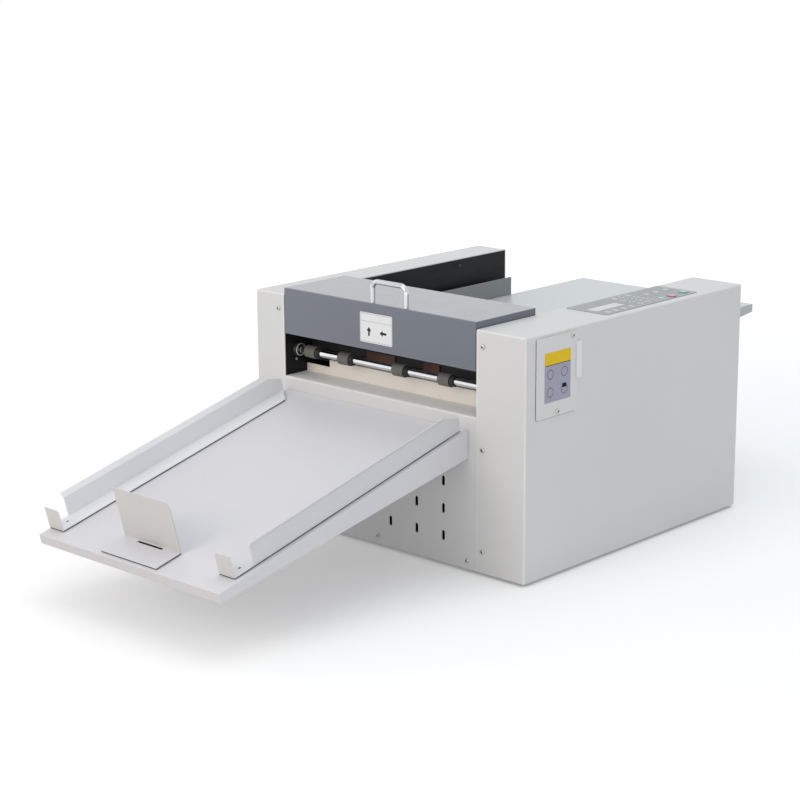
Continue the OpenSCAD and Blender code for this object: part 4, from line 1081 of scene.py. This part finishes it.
class CREASE_OT_feed_table(Build, bpy.types.Operator):
    """Eases and paints the feed table, its guides and the paper bed"""

    bl_idname = "crease.feed_table"
    bl_label = "Feed table"

    def build(self):
        edge = sizes().sheet_edge
        paint = colours().table
        table = eased("feed_table", smooth_paint("table_paint", paint, 0.34), edge)
        # Painted shade: the table's side faces get a darker copy of its paint
        side = smooth_paint("table_side_paint", shaded(paint, TABLE_SIDE_SHADE_SHARE), 0.34)
        repaint(table, side, lambda face: abs(face.normal.x) > 0.9)
        coat(smooth_paint("bed_paint", paint, 0.3), "paper_bed")
        guide = powder_coat("feed_guide_paint", colours().feed_guide, 0.5)
        for node in ("left_feed_guide", "right_feed_guide"):
            eased(node, guide, edge)
        coat(bright_metal("bracket_steel", (0.50, 0.51, 0.52), (1.0, 0.1, 1.0), 0.36),
             "table_brackets")


def axle(node):
    """Middle (y, z) and radius of a round node that lies along X."""
    low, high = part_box(node)
    return middle(low.y, high.y), middle(low.z, high.z), (high.z - low.z) / 2


def stations(node):
    """Middle and half width along X of each separate roller of a node."""
    ends = [(min(p.x for p in group), max(p.x for p in group)) for group in islands(node)]
    return [(middle(low, high), (high - low) / 2) for low, high in ends]


RINGS = (  # body, shaft, and how far the ring's edges stand out from the shaft
    ("frame", "delivery_shaft", 0.0032, 0.0040),
    ("feed", "feed_shaft", 0.0, 0.0022),
    ("cam", "cam_shaft", 0.0, 0.0022),
)
RUBBER = 0.0008  # how far in from its round face a roller's end faces turn near black
RING_WIDTH = 0.001
RING_GAP = 0.0016  # from the side frame to the ring's far side


class CREASE_OT_delivery_rollers(Build, bpy.types.Operator):
    """Finishes the delivery shaft, its rollers and bushes, and adds the retaining rings"""

    bl_idname = "crease.delivery_rollers"
    bl_label = "Delivery rollers"

    def build(self):
        turned = stations("delivery_rollers")
        coat(plated_shaft("delivery_chrome", (0.78, 0.78, 0.79), turned), "delivery_shaft")
        y, z, radius = axle("delivery_rollers")
        coat(moulded_rubber("delivery_rubber", colours().roller, 0.0011, 0.00010,
                            (y, z, radius - RUBBER)), "delivery_rollers")
        coat(sintered_bronze("bush_bronze", (0.10, 0.09, 0.075)), "shaft_bushes")
        self.rings()

    def rings(self):
        """Spring steel rings in front of the bushes, on each turning shaft."""
        # Painted highlight: the steel rings get a pale non-metal paint that stands for their
        # bright glint
        finish = smooth_paint("ring_zinc", (0.66, 0.66, 0.65), 0.3)
        tree = spread_tree()
        for body, shaft, inner, outer in RINGS:
            y, z, radius = axle(shaft)
            ring = master_piece("ring_master", *flat_ring(radius + inner, radius + outer,
                                                          RING_WIDTH, 36))
            places = [(FRAME_LEFT_X + RING_GAP, y, z), (FRAME_RIGHT_X - RING_GAP, y, z)]
            grown(shaft + "_rings", tree, places, {"Master": ring, "Finish": finish}, body,
                  "bright_steel", [(1, 0, 0), (-1, 0, 0)])
            put_away(ring)


SPRING_WIRE = 0.0006  # radius


class CREASE_OT_feed_rollers(Build, bpy.types.Operator):
    """Finishes the feed and pressure rollers and winds the pressure springs"""

    bl_idname = "crease.feed_rollers"
    bl_label = "Feed rollers"

    def build(self):
        turned = stations("feed_rollers")
        coat(plated_shaft("feed_chrome", (0.70, 0.70, 0.71), turned), "feed_shaft",
             "pressure_shaft", "cam_shaft")
        coat(moulded_rubber("feed_rubber", (0.05, 0.05, 0.052), 0.0016, 0.00012),
             "feed_rollers", "pressure_rollers")
        coat(moulded_plastic("block_plastic", (0.70, 0.70, 0.67)), "pressure_blocks")
        self.springs()

    def springs(self):
        low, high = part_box("pressure_springs")
        radius, height = (high.y - low.y) / 2, high.z - low.z
        y = middle(low.y, high.y)
        places = [(x, y, low.z + SPRING_WIRE) for x in (low.x + radius, high.x - radius)]
        finish = bright_metal("spring_wire", (0.50, 0.50, 0.49), roughness=0.3)
        inputs = {"Coil radius": radius - SPRING_WIRE, "Wire radius": SPRING_WIRE,
                  "Height": height - 2 * SPRING_WIRE, "Turns": 7.0, "Finish": finish}
        springs = grown("pressure_coils", coil_tree(), places, inputs, "frame", "bright_steel")
        springs.data.shade_smooth()
        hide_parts("pressure_springs")
        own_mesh(springs)


class CREASE_OT_gears(Build, bpy.types.Operator):
    """Finishes the gear train, the belt and its pulleys"""

    bl_idname = "crease.gears"
    bl_label = "Gears and belt"

    def build(self):
        coat(moulded_plastic("gear_plastic", (0.68, 0.66, 0.58), 0.42), "delivery_gear",
             "idler_gear", "feed_gear")
        coat(bright_metal("cut_gear_steel", (0.46, 0.47, 0.48), (1.0, 0.2, 0.2), 0.32),
             "cam_gear", "crease_pinion", "eccentrics")
        coat(bright_metal("pulley_alloy", (0.68, 0.69, 0.70), (1.0, 0.1, 0.1), 0.34),
             "feed_pulley", "motor_pulley")
        coat(moulded_rubber("belt_rubber", (0.015, 0.015, 0.016), 0.001, 0.00008), "timing_belt")


class CREASE_OT_creasing_unit(Build, bpy.types.Operator):
    """Finishes the beam, the blade, the anvil and the guides round them"""

    bl_idname = "crease.creasing_unit"
    bl_label = "Creasing unit"

    def build(self):
        coat(dark_sheet("beam_blacking", (0.03, 0.033, 0.037)), "creasing_beam")
        coat(bright_metal("blade_steel", (0.64, 0.64, 0.64), (0.03, 1.0, 1.0), 0.2),
             "creasing_blade")
        coat(dark_sheet("anvil_blacking", (0.02, 0.021, 0.023)), "creasing_anvil")
        coat(laminate("brown_laminate", (0.085, 0.032, 0.018)), "exit_guide")
        guide = powder_coat("guide_paint", colours().guide, *GUIDE_COAT)
        eased("delivery_guide", guide, sizes().sheet_edge)


RECESS_HALF, RECESS_DEPTH = 0.0006, 0.0013
FRAME_SCREWS = (("rear", 371.7, 319.5), ("front", 19.0, 234.0))  # name, y and z
FRAME_SCREW_SIZE = 0.6


class CREASE_OT_screws(Build, bpy.types.Operator):
    """Sets a cross-recessed pan head on every screw place"""

    bl_idname = "crease.screws"
    bl_label = "Screws"

    def build(self):
        s = sizes()
        master = master_piece("screw_master", *pan_head(
            s.screw_radius, s.screw_height, s.recess_arm, RECESS_HALF, RECESS_DEPTH))
        mark = master.data.attributes.new("recess", "FLOAT", "POINT")
        floor = s.screw_height - RECESS_DEPTH
        for k, v in enumerate(master.data.vertices):
            inside = max(abs(v.co.x), abs(v.co.y)) < s.recess_arm
            mark.data[k].value = float(inside and abs(v.co.z - floor) < 1e-6)
        zinc = screw_steel("screw_steel", (0.56, 0.55, 0.53))
        tree = spread_tree()
        inputs = {"Master": master, "Largest twist": math.tau, "Seed": 11, "Finish": zinc}
        places, facing = self.heads()
        screws = grown("pan_head_screws", tree, places, inputs, "frame", "bright_steel", facing)
        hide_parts("casing_screws")
        blacked = screw_steel("blacked_screw_steel", (0.10, 0.10, 0.10))
        for (name, y, z), metal in zip(FRAME_SCREWS, (blacked, zinc)):
            inputs |= {"Finish": metal, "Size": FRAME_SCREW_SIZE, "Seed": 5}
            grown(name + "_frame_screw", tree, [at(FRAME_LEFT_X / MM, y, z)], inputs, "frame",
                  "bright_steel", [(1, 0, 0)])
        put_away(master)

    def heads(self):
        """Seat and direction of each head, read from the CAD screws."""
        places, facing = [], []
        for group in islands("casing_screws"):
            low, high = ([pick(p[k] for p in group) for k in range(3)] for pick in (min, max))
            k = 1 if high[1] - low[1] > high[0] - low[0] else 0
            seat = [middle(*ends) for ends in zip(low, high)]
            outer = sum(p[k] > seat[k] for p in group)
            heading = 1.0 if 2 * outer > len(group) else -1.0
            seat[k] = (high if heading > 0 else low)[k] - heading * sizes().screw_height
            places.append(seat)
            facing.append([heading if i == k else 0.0 for i in range(3)])
        return places, facing


# Places of the keys on the machine, in millimetres; the marks follow the number keys' order
NUMBER_SPOTS = [(x, y) for x in (226.7, 211.7, 197.0, 182.5) for y in (274.2, 290.0, 305.8)]
KEY_SPOTS = [
    *[(229.5, y) for y in (197.5, 214.0, 231.7, 250.0)],
    *NUMBER_SPOTS, (226.7, 322.5), (195.0, 330.8), (195.0, 352.5), (195.0, 375.8),
]
KEY_HEIGHT, KEY_CORNER, KEY_CROWN = 0.0004, 0.0016, 0.0008
NUMBER_SIZE, NUMBER_THICKNESS = 0.0058, 0.00003
NUMBER_LIFT = 0.64  # millimetres above the panel


class CREASE_OT_keypad(Build, bpy.types.Operator):
    """Makes the membrane keys, their numbers, the display and the start and stop keys"""

    bl_idname = "crease.keypad"
    bl_label = "Keypad"

    def build(self):
        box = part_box("keypad_panel")
        coat(keypad_film("keypad_film", colours().keypad, *box), "keypad_panel")
        coat(display_glass("display_glass", *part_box("display_window")), "display_window")
        for node, colour in (("start_key", (0.055, 0.36, 0.25)),
                             ("stop_key", (0.36, 0.09, 0.13))):
            coat(soft_key(node + "_cap", colour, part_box(node)[1].z), node)
        top = (box[1].z - BASE_Z) / MM
        self.keys(top)
        self.numbers(top + NUMBER_LIFT)

    def keys(self, top):
        s = sizes()
        master = master_piece("key_master", *rounded_pad(
            s.key_width, s.key_length, KEY_HEIGHT, KEY_CORNER, KEY_CROWN))
        places = [at(x, y, top) for x, y in KEY_SPOTS]
        inputs = {"Master": master, "Finish": key_film("key_film", (0.46, 0.49, 0.495))}
        grown("membrane_keys", spread_tree(), places, inputs, "frame", "keypad_film",
              [(0, 0, 1)] * len(places))
        put_away(master)

    def numbers(self, height):
        """Plain numbers on the block of twelve keys, read from the operator's side."""
        parts = []
        for (x, y), mark in zip(NUMBER_SPOTS, "123456789.0-"):
            curve = bpy.data.curves.new("number", "FONT")
            curve.body = mark
            curve.size = NUMBER_SIZE
            curve.extrude = NUMBER_THICKNESS
            curve.align_x, curve.align_y = "CENTER", "CENTER"
            text = bpy.data.objects.new("number", curve)
            bpy.context.scene.collection.objects.link(text)
            bpy.context.view_layer.update()
            mesh = bpy.data.meshes.new_from_object(text)
            mesh.transform(Matrix.Translation(at(x, y, height))
                           @ Matrix.Rotation(math.pi / 2, 4, "Z"))
            parts.append(([v.co.copy() for v in mesh.vertices],
                          [list(p.vertices) for p in mesh.polygons]))
            bpy.data.meshes.remove(mesh)
            bpy.data.objects.remove(text)
            bpy.data.curves.remove(curve)
        new_piece("key_numbers", *gathered(parts), printed_ink("number_ink", INK), "frame",
                  "keypad_film")


BAND_DEPTH = 0.0167  # metres from the film's upper edge to the yellow band's lower one
PLATE_FACE = 0.0014  # metres from the plate's back; what stands further out is its pull
PLATE_EDGE = 0.0003
RING_INK = (0.0007, 0.00005)  # width and thickness
# Places on the right casing as (y, z) in millimetres
RING_SPOTS = ((47.8, 274.4), (77.3, 274.4), (47.9, 250.6), (77.0, 251.0))
# Two places, then the radius of the corners and the thickness in metres
PLATE_SHADOW_STRIP = ((19.8, 216.4), (104.4, 325.0), 0.004, 0.0003)
BLOCK = ((72.8, 253.3), (81.3, 258.8), 0.0006, 0.00012)


class CREASE_OT_service_plate(Build, bpy.types.Operator):
    """Paints the service plate and prints its plain band, field, rings and block"""

    bl_idname = "crease.service_plate"
    bl_label = "Service plate"

    def build(self):
        paint = shaded(colours().casing, 1.03)
        low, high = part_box("service_plate")
        paint = powder_coat("plate_paint", paint, 0.42, edges=[(1, low.y, 2, high.z)])
        plate = eased("service_plate", paint, PLATE_EDGE)
        # Painted highlight: the pull, part of the same plate, gets a paler paint for the light
        # it catches
        pull_x = low.x + PLATE_FACE
        repaint(plate, powder_coat("pull_paint", (0.74, 0.74, 0.74), 0.36),
                lambda face: face.center.x > pull_x)
        # A near-black strip under the plate's front and lower edges: a painted shadow of the gap
        # there
        self.slab("plate_seam", *PLATE_SHADOW_STRIP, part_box("right_casing")[1].x,
                  moulded_rubber("seam_rubber", (0.03, 0.03, 0.031)), "casing_paint")
        low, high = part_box("function_plate")
        coat(function_film("function_film", high.z - BAND_DEPTH, low, high), "function_plate")
        radius, (width, height) = sizes().ring_radius, RING_INK
        ring = master_piece("ring_master", *flat_ring(radius - width, radius, height, 40),
                            smooth=False)
        places = [(high.x, *at(0, y, z)[1:]) for y, z in RING_SPOTS]
        inputs = {"Master": ring, "Finish": printed_ink("ring_ink", (0.05, 0.052, 0.08))}
        grown("printed_rings", spread_tree(), places, inputs, "frame", "label_film",
              [(1, 0, 0)] * len(places))
        put_away(ring)
        self.slab("printed_block", *BLOCK, high.x,
                  printed_ink("block_ink", (0.003, 0.003, 0.004)), "label_film")

    def slab(self, name, start, end, corner, thickness, x, finish, slot):
        """A thin round-cornered slab, between two places, on a face that looks along +X."""
        low, high = at(0, *start), at(0, *end)
        centre = middle(low, high)
        outline = round_corners(high.y - low.y, high.z - low.z, corner, corner)
        back, front = ([(depth, centre.y + y, centre.z + z) for y, z in outline]
                       for depth in (x, x + thickness))
        new_piece(name, *prism(back, front), finish, "frame", slot)


class CREASE_OT_electrics(Build, bpy.types.Operator):
    """Finishes the motors, boards, power supply, inlet and power switch"""

    bl_idname = "crease.electrics"
    bl_label = "Electrics"

    def build(self):
        coat(motor_stack("feed_motor_stack", (0.03, 0.03, 0.032)), "feed_motor")
        coat(motor_stack("crease_motor_case", (0.10, 0.10, 0.105), 0.004), "crease_motor")
        coat(circuit_green("board_resist", (0.02, 0.16, 0.07)), "control_board", "key_board")
        coat(bright_metal("supply_case", (0.60, 0.61, 0.62), (0.3, 1.0, 1.0), 0.4),
             "power_supply")
        coat(moulded_plastic("inlet_plastic", (0.014, 0.014, 0.015), 0.32, 0.00002),
             "power_inlet")
        coat(moulded_plastic("rocker_plastic", (0.02, 0.02, 0.021), 0.22, 0.000004, 0.3),
             "power_rocker")


class CREASE_PT_panel(bpy.types.Panel):
    """Sidebar panel with every step and setting"""

    bl_idname = "CREASE_PT_panel"
    bl_label = "Creasing machine"
    bl_space_type = "VIEW_3D"
    bl_region_type = "UI"
    bl_category = "Creasing machine"

    def draw(self, context):
        for step in STEPS:
            self.layout.operator(step.bl_idname)
        for group in (context.scene.crease_colours, context.scene.crease_sizes):
            box = self.layout.box()
            for key in group.bl_rna.properties.keys():
                if key not in ("name", "rna_type"):
                    box.prop(group, key)


STEPS = (
    CREASE_OT_stage,
    CREASE_OT_casings,
    CREASE_OT_side_frames,
    CREASE_OT_cover,
    CREASE_OT_tray,
    CREASE_OT_feed_table,
    CREASE_OT_delivery_rollers,
    CREASE_OT_feed_rollers,
    CREASE_OT_gears,
    CREASE_OT_creasing_unit,
    CREASE_OT_screws,
    CREASE_OT_keypad,
    CREASE_OT_service_plate,
    CREASE_OT_electrics,
)
CLASSES = (CREASE_Colours, CREASE_Sizes, *STEPS, CREASE_PT_panel)


def register():
    for cls in CLASSES:
        bpy.utils.register_class(cls)
    bpy.types.Scene.crease_colours = bpy.props.PointerProperty(type=CREASE_Colours)
    bpy.types.Scene.crease_sizes = bpy.props.PointerProperty(type=CREASE_Sizes)


def unregister():
    del bpy.types.Scene.crease_sizes
    del bpy.types.Scene.crease_colours
    for cls in reversed(CLASSES):
        bpy.utils.unregister_class(cls)


def main():
    """Registers the add-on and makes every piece."""
    register()
    for step in STEPS:
        area, name = step.bl_idname.split(".")
        getattr(getattr(bpy.ops, area), name)()
    bpy.context.view_layer.update()


if __name__ == "__main__":
    main()
